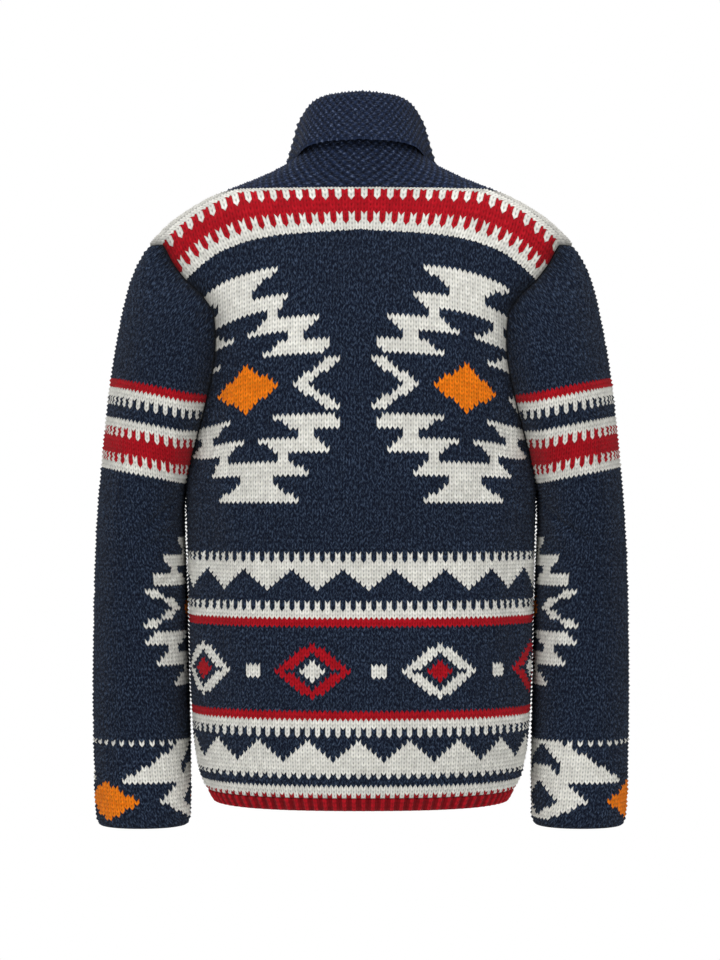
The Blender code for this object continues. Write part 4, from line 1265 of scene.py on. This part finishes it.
def collar_sections(places, mark):
    """Points across the collar at all stations, and the outward way at each.

    The stand is a curve from the seam, drawn towards a middle point, up to the roll. The fold is
    an arc of the table's angle, and the fall goes straight on from it.
    """
    read_at = {name: read(COLLAR, name, np.minimum(mark, 3)) for name in COLLAR}
    seam, out = body.smooth(places[:, 0], places[:, 1]), body.outward(places[:, 0], places[:, 1])
    mid, roll = (np.stack([read_at[point + axis] for axis in ("_x", "_y", "_z")], -1)[:, None]
                 for point in ("mid", "roll"))
    t = np.linspace(0, 1, 60)[None, :, None]
    start = seam[:, None]
    stand = (1 - t) ** 3 * start + 3 * t * (1 - t) * mid + t ** 3 * roll
    ahead = unit((1 - t) ** 2 * (mid - start) + t * t * (roll - mid))
    side = unit(out[:, None] - np.sum(out[:, None] * ahead, -1)[..., None] * ahead)
    settled = smoothstep(t * 5)
    side = unit(side * settled + out[:, None] * (1 - settled))
    full = np.radians(read_at["fold"])[:, None, None]
    turn = full * np.linspace(0, 1, 30)[None, 1:, None]
    tip, away = ahead[:, -1:], side[:, -1:]
    radius = FOLD_LENGTH / full
    centre = stand[:, -1:] + away * radius
    bend = centre + radius * (np.sin(turn) * tip - np.cos(turn) * away)
    bend_out = np.cos(turn) * away - np.sin(turn) * tip
    last = np.cos(full) * tip + np.sin(full) * away
    fall = read_at["fall"][:, None, None] * np.linspace(0, 1, 40)[None, 1:, None]
    hang = bend[:, -1:] + fall * last
    hang_out = np.repeat(bend_out[:, -1:], 39, 1)
    points = np.concatenate([stand, bend, hang], 1)
    ways = np.concatenate([side, bend_out, hang_out], 1)
    fold_end = BREAK_STAND + FOLD_LENGTH
    across = joined(np.linspace(0, BREAK_STAND, 60), np.linspace(BREAK_STAND, fold_end, 30),
                    np.linspace(fold_end, BAND_WIDTH, 40))[None]
    height = np.repeat(places[:, :1], across.shape[1], 1)
    flat = body.smooth(height, places[:, 1:] + across)
    flat_out = level(body.outward(height, places[:, 1:] + across))
    on_band = smoothstep((mark - 2.8) / 0.2)[:, None, None]
    return points + (flat - points) * on_band, unit(ways + (flat_out - ways) * on_band)


# %% Rows of moss stitch counted from the free edge
def moss_grid(points, ways):
    """The collar's two faces at half-stitch steps from the free edge, and the room to the seam.

    Distances are measured on the inner face, which is the one that shows on the roll.
    """
    inner = points - WALL * ways
    step = np.linalg.norm(np.diff(inner[:, ::-1], axis=1), axis=-1)
    run = np.concatenate([np.zeros((len(points), 1)), np.cumsum(step, 1)], 1)
    count = int(np.ceil(run[:, -1].max() / ACROSS_PITCH))
    at = np.arange(2 * count + 1) * ACROSS_PITCH / 2
    both = np.concatenate([points, ways], -1)[:, ::-1]
    laid = np.array([[np.interp(at, run[station], both[station, :, axis]) for axis in range(6)]
                     for station in range(len(points))]).transpose(0, 2, 1)
    room = np.maximum(run[:, -1:] - at, 0)
    return laid[..., :3], unit(laid[..., 3:]), room


places_half, mark, length = seam_stations()
points, ways = collar_sections(places_half, mark)
outer, normal, room = moss_grid(points, ways)
outer = np.concatenate([(outer * (-1, 1, 1))[:0:-1], outer])
normal = np.concatenate([(normal * (-1, 1, 1))[:0:-1], normal])
room = np.concatenate([room[:0:-1], room])
print("collar", round(2 * length, 3), "m along its seam,", outer.shape[1] // 2, "rows wide")

# %% The collar's shell
def chequer(count_along, count_across):
    """1 on bumps, -1 in pits and 0 on the lines between, at half-stitch steps."""
    along, across = np.arange(count_along)[:, None], np.arange(count_across)[None]
    centre = (along % 2 == 1) & (across % 2 == 1)
    return np.where(centre, np.where((along // 2 + across // 2) % 2 == 0, 1.0, -1.0), 0.0)


stations, depth = outer.shape[:2]
bump = chequer(stations, depth)
uneven = 1 + UNEVEN_MOSS * rng.standard_normal(bump.shape)
calm = smoothstep(room / 0.004) * np.where(np.arange(depth) == 0, 0.3, 1.0)[None]
front_lift = calm * MOSS_RELIEF * uneven * np.where(bump > 0, 1.0, SHALLOW) * bump
back_lift = calm * MOSS_RELIEF * uneven * np.where(bump < 0, -1.0, -SHALLOW) * bump
front_face = outer + front_lift[..., None] * normal
back_face = outer - (WALL + back_lift[..., None]) * normal
toward_edge = unit(outer[:, 0] - outer[:, 1])
ripple = 0.0016 + 0.0006 * np.where(np.arange(stations) % 4 == 1, 1.0, 0.0)
edge = outer[:, 0] - WALL / 2 * normal[:, 0] + ripple[:, None] * toward_edge

count = stations * depth
place = np.arange(count).reshape(stations, depth)
points = np.concatenate([front_face.reshape(-1, 3), back_face.reshape(-1, 3), edge])
edge_place = 2 * count + np.arange(stations)
free = np.stack([place[:, 0], edge_place, place[:, 0] + count], -1)
strips = [place, (place + count)[:, ::-1], free[:, ::-1],
          np.stack([place[:, -1], place[:, -1] + count], -1)]
caps = [np.stack([place[0], place[0] + count], 0), np.stack([place[-1] + count, place[-1]], 0)]
triangles = np.concatenate([grid_triangles(points, strip) for strip in strips + caps])
tips = np.array([[place[0, 0], edge_place[0], place[0, 0] + count],
                 [place[-1, 0] + count, edge_place[-1], place[-1, 0]]])
triangles = np.concatenate([triangles, tips])
numbers = np.stack(np.meshgrid(np.arange(depth) / 2, np.arange(stations) / 2), -1).reshape(-1, 2)
edge_numbers = np.stack([np.zeros(stations), np.arange(stations) / 2], -1)
numbers = np.concatenate([numbers, numbers, edge_numbers])
# Painted shade: only the bumps stay bright, the pits, the lines between and the free edge are
# darkened. A bump on one face is a pit on the other.
faces = np.clip([0.75 - 0.75 * bump, 0.75 + 0.75 * bump], 0, 1)
painted_shade = np.concatenate([faces.ravel(), np.full(stations, 0.4)])
collar = make_piece("knitted_shawl_collar", points, triangles, np.zeros(len(triangles), int),
                    numbers, painted_shade, [lit_moss_navy])
fit(collar, "shawl_collar")

# %% [markdown]
# ## Floor, light and camera
# The garment is shown filled out, before plain white. The camera sees a white world, while
# what lights the cloth is dimmer, so that the stitches keep their shade. Large soft lamps stand
# behind the camera and above. The floor is a pale disc below the picture's edge: it shows in the
# other views.

# %% Floor
turn = np.linspace(0, 2 * np.pi, 97)[:-1]
ring = np.stack([np.cos(turn), np.sin(turn)], -1)
FLOOR_HEIGHT = -1.35
floor_points = np.concatenate([radius * ring for radius in (0.7, 1.4, 2.1, 2.8)])
floor_points = np.concatenate([np.zeros((1, 2)), floor_points])
floor_points = np.concatenate([floor_points, np.full((len(floor_points), 1), FLOOR_HEIGHT)], 1)
step = np.arange(96)
faces = np.stack([np.zeros(96, int), 1 + step, 1 + (step + 1) % 96], -1).tolist()
for start in range(1, 289, 96):
    near, after = start + step, start + (step + 1) % 96
    faces += np.stack([near, near + 96, after + 96, after], -1).tolist()
mesh = bpy.data.meshes.new("floor")
mesh.from_pydata(floor_points.tolist(), [], faces)
mesh.update()
floor = bpy.data.objects.new("floor", mesh)
bpy.context.scene.collection.objects.link(floor)
# Matt painted board: pale, with a barely visible unevenness.
board = bpy.data.materials.new("matt_painted_board")
board.use_nodes = True
paint = board.node_tree.nodes["Principled BSDF"]
where = node(board.node_tree, "ShaderNodeTexCoord", {})
mottle = node(board.node_tree, "ShaderNodeTexNoise",
              {"Vector": where.outputs["Object"], "Scale": 3.0, "Detail": 2.0})
tint = node(board.node_tree, "ShaderNodeMix", {0: mottle.outputs[0], 6: linear("E6E6E4"),
                                               7: linear("ECECEA")}, data_type="RGBA")
board.node_tree.links.new(tint.outputs[2], paint.inputs["Base Color"])
paint.inputs["Roughness"].default_value = 0.9
mesh.materials.append(board)

# %% World and lamps
scene = bpy.context.scene
scene.view_settings.view_transform = "Standard"
world = bpy.data.worlds.new("white studio")
scene.world = world
world.use_nodes = True
sky = world.node_tree
sky.nodes.clear()
seen = node(sky, "ShaderNodeLightPath", {})
soft = node(sky, "ShaderNodeBackground", {"Color": (1, 1, 1, 1), "Strength": 0.36})
white = node(sky, "ShaderNodeBackground", {"Color": (1, 1, 1, 1), "Strength": 1.0})
mixed = node(sky, "ShaderNodeMixShader", {0: seen.outputs["Is Camera Ray"], 1: soft.outputs[0],
                                          2: white.outputs[0]})
node(sky, "ShaderNodeOutputWorld", {"Surface": mixed.outputs[0]})


def lamp(name, place, size, watts):
    """A square soft lamp that points at the middle of the garment."""
    data = bpy.data.lights.new(name, "AREA")
    data.size = size
    data.energy = watts
    made = bpy.data.objects.new(name, data)
    way = np.array([0, 0, -0.3]) - np.array(place)
    made.location = place
    made.rotation_euler = (np.arccos(-way[2] / np.linalg.norm(way)), 0,
                           np.arctan2(way[1], way[0]) - np.pi / 2)
    made.visible_camera = False
    scene.collection.objects.link(made)


lamp("key", (1.5, 3.2, 1.7), 1.8, 78)
lamp("fill", (-1.7, 3.0, 0.6), 2.2, 40)
lamp("front", (0.9, -3.4, 1.5), 2.4, 78)
lamp("above", (0, 0, 2.6), 2.2, 37)

# %% Camera
# It stands three metres behind the origin, level with the garment's middle. 960 pixels span
# 1.056 m there, so one is 1.1 mm.
CAMERA_DISTANCE = 3
HALF_VIEW = 0.528
lens = bpy.data.cameras.new("camera")
lens.sensor_fit = "VERTICAL"
lens.sensor_width = 36
lens.sensor_height = 36
lens.lens = 18 / (HALF_VIEW / CAMERA_DISTANCE)
lens.shift_x = -1 / 960
camera = bpy.data.objects.new("camera", lens)
camera.location = (0, CAMERA_DISTANCE, -0.313)
camera.rotation_euler = (np.pi / 2, 0, np.pi)
scene.collection.objects.link(camera)
scene.camera = camera
